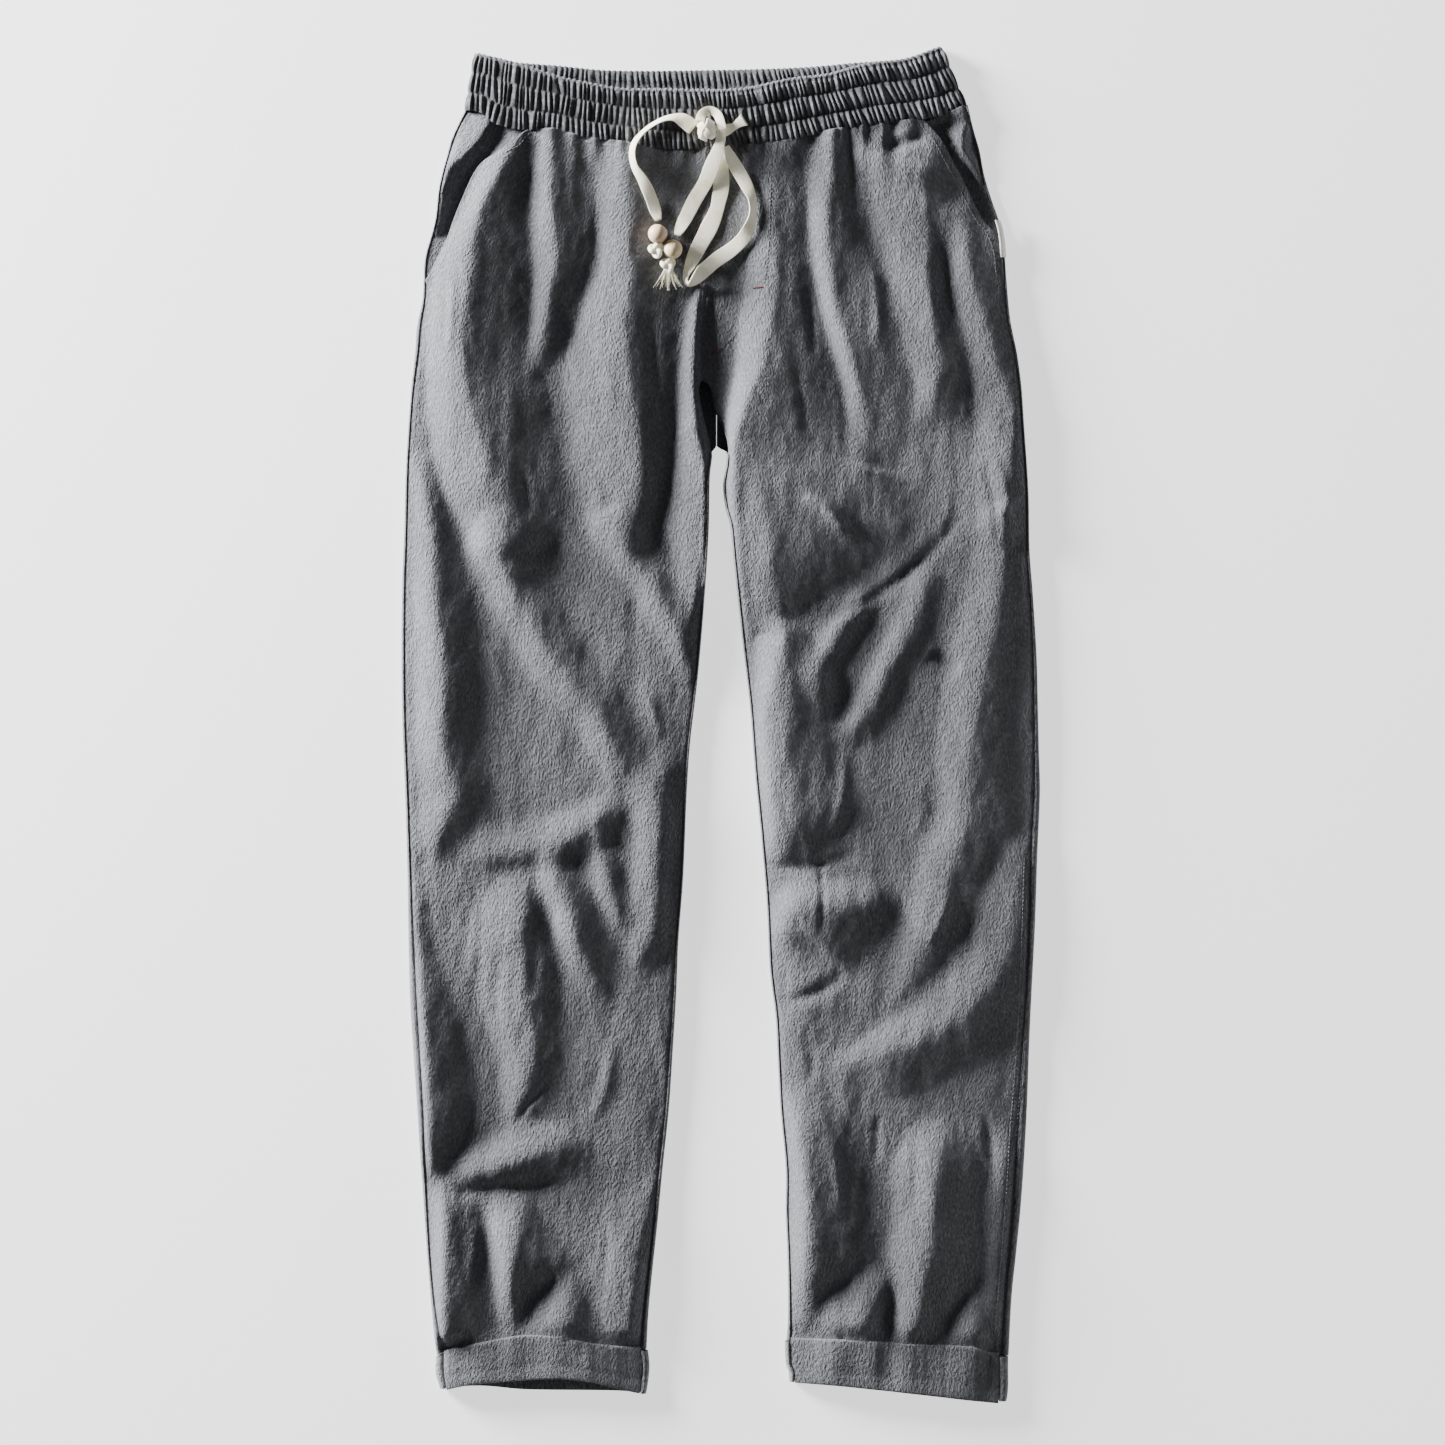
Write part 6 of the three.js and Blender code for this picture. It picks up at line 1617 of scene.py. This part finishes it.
class TrouserSizes(bpy.types.PropertyGroup):
    """Sizes that a user would change."""

    gather_height: length_of("Gather height", "Rise of the waistband's gathers", 0.0042)
    tape_width: length_of("Tape width", "Width of the drawstring's tape", 0.0096)
    tape_thickness: length_of("Tape thickness", "Thickness of the drawstring's tape", 0.0015)
    bead_diameter: length_of("Bead diameter", "Diameter of the wooden beads", 0.014)
    cell: length_of("Cloth cell", "Spacing of the cloth's grid", 0.0016)


class TrouserTones(bpy.types.PropertyGroup):
    """Colours that a user would change, as sRGB hex values."""

    cloth: tone_of("Cloth", "The cloth's mean grey", "#5f6064")
    cloth_dark: tone_of("Cloth, dark", "Its thin threads", "#505155")
    cloth_light: tone_of("Cloth, light", "Its slubs", "#757679")
    inside: tone_of("Inside", "The cloth's inner face", "#6a6b6e")
    inside_dark: tone_of("Inside, dark", "Its thin threads", "#505155")
    inside_light: tone_of("Inside, light", "Its slubs", "#8f9092")
    tape: tone_of("Tape", "The drawstring's cream", "#fcf8e6")
    tape_dark: tone_of("Tape, shade", "Its deeper threads", "#e2dbb6")
    floor: tone_of("Floor", "The studio paper", "#ececec")


# Grids: a leg's nominal width for its columns, how much coarser the backs' rows are, and rows and columns.
LEG_SPAN = 190
BACK_COARSER = 1.5
BACK_COLUMNS = 70
FACING_GRID = (110, 60)
CUFF_COLUMNS = 130
CUFF_BACK_GRID = (24, 60)

# Turned edges of the panels: radius of the turn, and width of the tuck below it.
FRONT_EDGE = (0.7, 5)
FACING_EDGE = (0.5, 0)


class TROUSERS_OT_legs(bpy.types.Operator):
    """Fronts, backs and pocket facings of both legs"""

    bl_idname = "trousers.add_legs"
    bl_label = "Legs and Pockets"

    def execute(self, context):
        cell = context.scene.trouser_sizes.cell / MM
        rows = int((FRONT_TOP - CUFF_LEVEL) / cell)
        for side in EDGE:
            front = front_panel_points(side, field()["front"], rows, int(LEG_SPAN / cell))
            piece = surface(f"front_leg_cloth_{side}", turned_under(front, *FRONT_EDGE), flip=side == "left")
            finished(piece, CLOTH, "cloth", f"front_leg_{side}")
            back = back_panel_points(side, field(), int(rows / BACK_COARSER), BACK_COLUMNS)
            piece = surface(f"back_leg_cloth_{side}", back, flip=side == "right")
            finished(piece, CLOTH, "cloth", f"back_leg_{side}")
            facing = turned_under(facing_points(side, field()["facing"], *FACING_GRID), *FACING_EDGE)
            piece = surface(f"pocket_facing_cloth_{side}", facing, flip=side == "left")
            finished(piece, CLOTH, "cloth", f"pocket_facing_{side}")
            laid.append(bpy.data.objects[f"front_leg_cloth_{side}"])
        return {"FINISHED"}


class TROUSERS_OT_cuffs(bpy.types.Operator):
    """Turned-up cuffs, front and back"""

    bl_idname = "trousers.add_cuffs"
    bl_label = "Cuffs"

    def execute(self, context):
        for side in EDGE:
            front = cuff_front_points(side, field()["front"], CUFF_COLUMNS)
            piece = surface(f"cuff_front_cloth_{side}", front, flip=side == "right", wrap_rows=True)
            finished(piece, CLOTH, "cloth", f"cuff_front_{side}")
            back = cuff_back_points(side, *CUFF_BACK_GRID)
            piece = surface(f"cuff_back_cloth_{side}", back, flip=side == "right")
            finished(piece, INSIDE, "cloth_inside", f"cuff_back_{side}")
        return {"FINISHED"}


class TROUSERS_OT_waistband(bpy.types.Operator):
    """Gathered elastic waistband, all round"""

    bl_idname = "trousers.add_waistband"
    bl_label = "Waistband"

    def execute(self, context):
        points = waistband_points(context.scene.trouser_sizes)
        piece = surface("waistband_cloth", points, wrap_columns=True)
        finished(piece, CLOTH, "cloth", "waistband_front", "waistband_back")
        laid.append(piece)
        return {"FINISHED"}


TAPES = {
    "drawstring_loop": {"route": "loop", "far_end": "object", "end": None},
    "drawstring_ear": {"route": "ear", "far_end": None, "end": None},
    "drawstring_tail_left": {"route": "tail_left", "far_end": "knot", "end": "end_knot_left"},
    "drawstring_tail_right": {"route": "tail_right", "far_end": "knot", "end": "end_knot_right"},
}


class TROUSERS_OT_drawstring(bpy.types.Operator):
    """Drawstring: its knot, loop, ear and tails, with their end knots and frayed end"""

    bl_idname = "trousers.add_drawstring"
    bl_label = "Drawstring"

    def execute(self, context):
        sizes = context.scene.trouser_sizes
        tree = laid_tree(laid)
        radii = KNOT["radii"]
        rest = box_rest(tree, KNOT["x"], KNOT["y"], radii[0]) + radii[2] + LAY_GAP
        middle = (KNOT["x"], KNOT["y"], rest)
        core = egg_points(middle, radii, KNOT["turn"])
        knot = joined_surfaces("drawstring_knot_core", [core], wrap_columns=True, flip=True)
        finished(knot, TAPE, "tape", "drawstring_knot")
        turns = [
            wrapped_band(middle, (radii[0] + out, radii[2] + up), turn, tilt, width, WRAP_WALL)
            for (out, up), turn, tilt, width in KNOT_WRAPS
        ]
        wraps = joined_surfaces("drawstring_knot_wraps", turns, wrap_columns=True, flip=True)
        finished(wraps, TAPE, "tape")
        laid.append(knot)
        for name, end in END_KNOTS.items():
            tree = laid_tree(laid)
            low = box_rest(tree, end["x"], end["y"], END_KNOT_REACH) + END_KNOT_HEIGHT + LAY_GAP
            points = knotted_tube((end["x"], end["y"], low), END_KNOT_SIZE, END_KNOT_TUBE, end["turn"])
            piece = joined_surfaces(f"{name}_tape", [ring_closed(points)], wrap_columns=True, flip=True)
            finished(piece, TAPE, "tape", name)
        end = END_KNOTS["end_knot_right"]
        low = box_rest(tree, end["x"], end["y"] - FRAY_DROP, FRAY_REACH) + FRAY_LIFT
        fray = joined_surfaces("end_knot_right_fray", fray_points(end, low), wrap_columns=True)
        finished(fray, TAPE, "tape")
        for name, facts in TAPES.items():
            tree = laid_tree(laid)
            stations = tape_stations(ROUTES[facts["route"]], sizes, tree)
            points = capped(tape_points(stations))
            piece = surface(f"{name}_tape", points, wrap_columns=True)
            finished(piece, TAPE, "tape", name)
            laid.append(piece)
            if not facts["far_end"]:
                continue
        return {"FINISHED"}


class TROUSERS_OT_beads(bpy.types.Operator):
    """Wooden beads on the drawstring's ends"""

    bl_idname = "trousers.add_beads"
    bl_label = "Beads"

    def execute(self, context):
        radius = context.scene.trouser_sizes.bead_diameter / MM / 2
        # Each bead is threaded on its own tail, so it doesn't rest on the tails.
        tree = laid_tree([piece for piece in laid if not piece.name.startswith("drawstring_tail")])
        for name, bead in BEADS.items():
            rest = ball_rest(tree, bead["x"], bead["y"], radius)
            points = bead_points(bead, radius, BEAD_HOLE, rest)
            piece = joined_surfaces(f"{name}_wood", [ring_closed(points)], wrap_columns=True)
            finished(piece, bead["finish"], "bead", name)
        return {"FINISHED"}


LABEL = {"from": -3.6, "to": 0.5, "low": 340, "high": 367, "wall": 1.1, "droop": 3.0, "bow": 0.35}


def label_points():
    """A folded tab: out from the seam, over a half circle at its fold and back below, drooping outwards."""
    y = np.linspace(LABEL["low"], LABEL["high"], 60)[:, None]
    turn = np.linspace(-np.pi / 2, np.pi / 2, 9)[1:-1]
    out = np.linspace(0, 1, 12)
    across = np.concatenate([out, 1 + 0.06 * np.cos(turn), out[::-1]])[None, :]
    wall = np.concatenate([1 + 0 * out, 0.5 - 0.5 * np.sin(turn), 0 * out])[None, :]
    x = EDGE["left"]["outer"](y) + mix(LABEL["from"], LABEL["to"], across)
    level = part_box("side_label")[1].z / MM - LABEL["wall"]
    bow = LABEL["bow"] * np.sin(np.pi * across) * np.sin(np.pi * (y - LABEL["low"]) / 30)
    droop = LABEL["droop"] * np.clip(across, 0, 1) ** 2
    z = level + wall * LABEL["wall"] + bow + 0.12 * np.sin(y / 2.1) - droop
    return np.stack([x, y + 0 * x, z], -1)


class TROUSERS_OT_label(bpy.types.Operator):
    """Bare folded label in the left side seam"""

    bl_idname = "trousers.add_label"
    bl_label = "Side Label"

    def execute(self, context):
        piece = surface("side_label_cloth", label_points(), wrap_columns=True)
        finished(piece, LABEL_TAPE, "label", "side_label")
        return {"FINISHED"}


def smooth_line(rows):
    """A dense smooth line through (x, y) rows."""
    named = table(("x", "y"), rows)
    named["at"] = np.arange(len(rows), dtype=float)
    at = np.linspace(0, len(rows) - 1, 40 * len(rows))
    return curve_of(named, "at", "x")(at), curve_of(named, "at", "y")(at)


STITCH_LINES = {
    "left outseam, outer row": [
        (225, -97), (220.8, -213), (217.5, -263), (214.4, -300), (212, -340), (208.8, -380), (205.6, -420),
        (203, -447),
    ],
    "left outseam, inner row": [
        (220, -97), (215.8, -213), (212.5, -263), (209.4, -300), (207, -340), (203.8, -380), (200.6, -420),
        (198, -447),
    ],
    "mock fly": [(36, 412), (35, 380), (34, 350), (30, 320), (16, 292), (0, 274), (-8, 268)],
}

# Each bar tack: its two ends and its number of stitches.
BAR_TACKS = [((22, 317), (30, 317.6), 7), ((-8, 269), (0, 274), 5)]
TACK_HALF_WIDTH = 0.6

# How far inside a pocket's slant its row of stitches runs.
SLANT_STITCHES = 5


def tack_points():
    """Bar tacks: each a zigzag of stitches close together, along a short line on the front."""
    tacks = []
    for start, end, turns in BAR_TACKS:
        for i in range(turns):
            lean = TACK_HALF_WIDTH * (-1) ** i
            ends = []
            for share, offset in ((i / turns, lean), ((i + 0.8) / turns, -lean)):
                x, y = mix(np.array(start), np.array(end), share) + [0, offset]
                ends.append(np.array([x, y, thread_height(x, y)]))
            tacks.append(stitch_points(*ends, 0.8, 0.6))
    return tacks


class TROUSERS_OT_stitches(bpy.types.Operator):
    """Topstitching of the pockets, left side seam and mock fly, and the bar tacks"""

    bl_idname = "trousers.add_stitches"
    bl_label = "Stitches"

    def execute(self, context):
        grids = []
        for line in STITCH_LINES.values():
            grids += stitches_along(*smooth_line(line))
        for side in EDGE:
            y = np.linspace(POCKET_FOOT + 6, FRONT_TOP - 3, 120)
            x = EDGE[side]["slant"](y) - OUTWARD[side] * SLANT_STITCHES
            y = bent_level(y, x, side, FRONT_TOP, foot_of_front_band)
            grids += stitches_along(x, y)
        piece = joined_surfaces("topstitching", grids, wrap_columns=True, flip=True)
        finished(piece, THREAD, "cloth")
        piece = joined_surfaces("bar_tacks", tack_points(), wrap_columns=True, flip=True)
        finished(piece, TACK_THREAD, "cloth")
        return {"FINISHED"}


# Photograph's frame: its width at the surface, and the point at its middle, in metres.
PHOTO_PIXELS = 1445
PIXEL_MM = 0.73
VIEW_WIDTH = PHOTO_PIXELS * PIXEL_MM * MM
IMAGE_CENTRE = (0.00117, 0.00075)
LENS_MM = 100.0
SENSOR_MM = 36.0
FLOOR_REACH = 12000
FLOOR_DROP = 0.4
AIR_LIGHT = 0.10
FLOOR_GLOW = 1.35

# Each light: azimuth, elevation, distance and diameter in metres, and watts.
LIGHTS = {
    "key": (math.radians(150), math.radians(9.5), 3.2, 1.2, 900.0),
    "fill": (math.radians(-25), math.radians(4), 3.2, 1.2, 45.0),
}


class TROUSERS_OT_stage(bpy.types.Operator):
    """Pale floor, a low key light, a weak fill and the camera straight above"""

    bl_idname = "trousers.add_stage"
    bl_label = "Stage"

    def execute(self, context):
        square = np.array([[-1, -1, 0], [1, -1, 0], [1, 1, 0], [-1, 1, 0]])
        corners = FLOOR_REACH * square - [0, 0, FLOOR_DROP]
        floor = mesh_object("studio_floor", to_frame(corners), np.array([[0, 1, 2, 3]]))
        floor.data.materials.append(finish_of(PAPER))
        for name, (azimuth, elevation, distance, size, power) in LIGHTS.items():
            light = bpy.data.lights.new(name, "AREA")
            light.shape = "DISK"
            light.size = size
            light.energy = power
            lamp = bpy.data.objects.new(name, light)
            way = Vector((math.cos(azimuth) * math.cos(elevation), math.sin(azimuth) * math.cos(elevation),
                          math.sin(elevation)))
            lamp.location = way * distance
            lamp.rotation_euler = way.to_track_quat("Z", "Y").to_euler()
            context.scene.collection.objects.link(lamp)
        world = bpy.data.worlds.new("studio_air")
        world.use_nodes = True
        world.node_tree.nodes["Background"].inputs["Color"].default_value = (1, 1, 1, 1)
        world.node_tree.nodes["Background"].inputs["Strength"].default_value = AIR_LIGHT
        context.scene.world = world
        camera = bpy.data.objects.new("camera", bpy.data.cameras.new("camera"))
        camera.data.lens = LENS_MM
        camera.data.sensor_width = SENSOR_MM
        camera.location = (IMAGE_CENTRE[0], IMAGE_CENTRE[1], VIEW_WIDTH * LENS_MM / SENSOR_MM)
        context.scene.collection.objects.link(camera)
        context.scene.camera = camera
        return {"FINISHED"}


class TROUSERS_PT_panel(bpy.types.Panel):
    """Lists the pieces, sizes and colours"""

    bl_idname = "TROUSERS_PT_panel"
    bl_label = "Summer Trousers"
    bl_space_type = "VIEW_3D"
    bl_region_type = "UI"
    bl_category = "Trousers"

    def draw(self, context):
        for group in (context.scene.trouser_sizes, context.scene.trouser_tones):
            for name in group.bl_rna.properties.keys():
                if name not in ("rna_type", "name"):
                    self.layout.prop(group, name)
        for operator in OPERATORS:
            self.layout.operator(operator.bl_idname)


OPERATORS = (
    TROUSERS_OT_stage,
    TROUSERS_OT_legs,
    TROUSERS_OT_cuffs,
    TROUSERS_OT_waistband,
    TROUSERS_OT_drawstring,
    TROUSERS_OT_beads,
    TROUSERS_OT_label,
    TROUSERS_OT_stitches,
)
CLASSES = (TrouserSizes, TrouserTones, *OPERATORS, TROUSERS_PT_panel)


def register():
    """Let Blender know the operators, the panel and the settings."""
    for cls in CLASSES:
        bpy.utils.register_class(cls)
    bpy.types.Scene.trouser_sizes = bpy.props.PointerProperty(type=TrouserSizes)
    bpy.types.Scene.trouser_tones = bpy.props.PointerProperty(type=TrouserTones)


def unregister():
    """Take the settings, the panel and the operators back out."""
    del bpy.types.Scene.trouser_tones
    del bpy.types.Scene.trouser_sizes
    for cls in reversed(CLASSES):
        bpy.utils.unregister_class(cls)


def plain(box):
    """A box as plain lists of numbers."""
    return [[float(value) for value in corner] for corner in box]


def main():
    """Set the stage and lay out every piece."""
    register()
    bpy.ops.trousers.add_stage()
    bpy.ops.trousers.add_legs()
    bpy.ops.trousers.add_cuffs()
    bpy.ops.trousers.add_waistband()
    bpy.ops.trousers.add_drawstring()
    bpy.ops.trousers.add_beads()
    bpy.ops.trousers.add_label()
    bpy.ops.trousers.add_stitches()


if __name__ == "__main__":
    main()
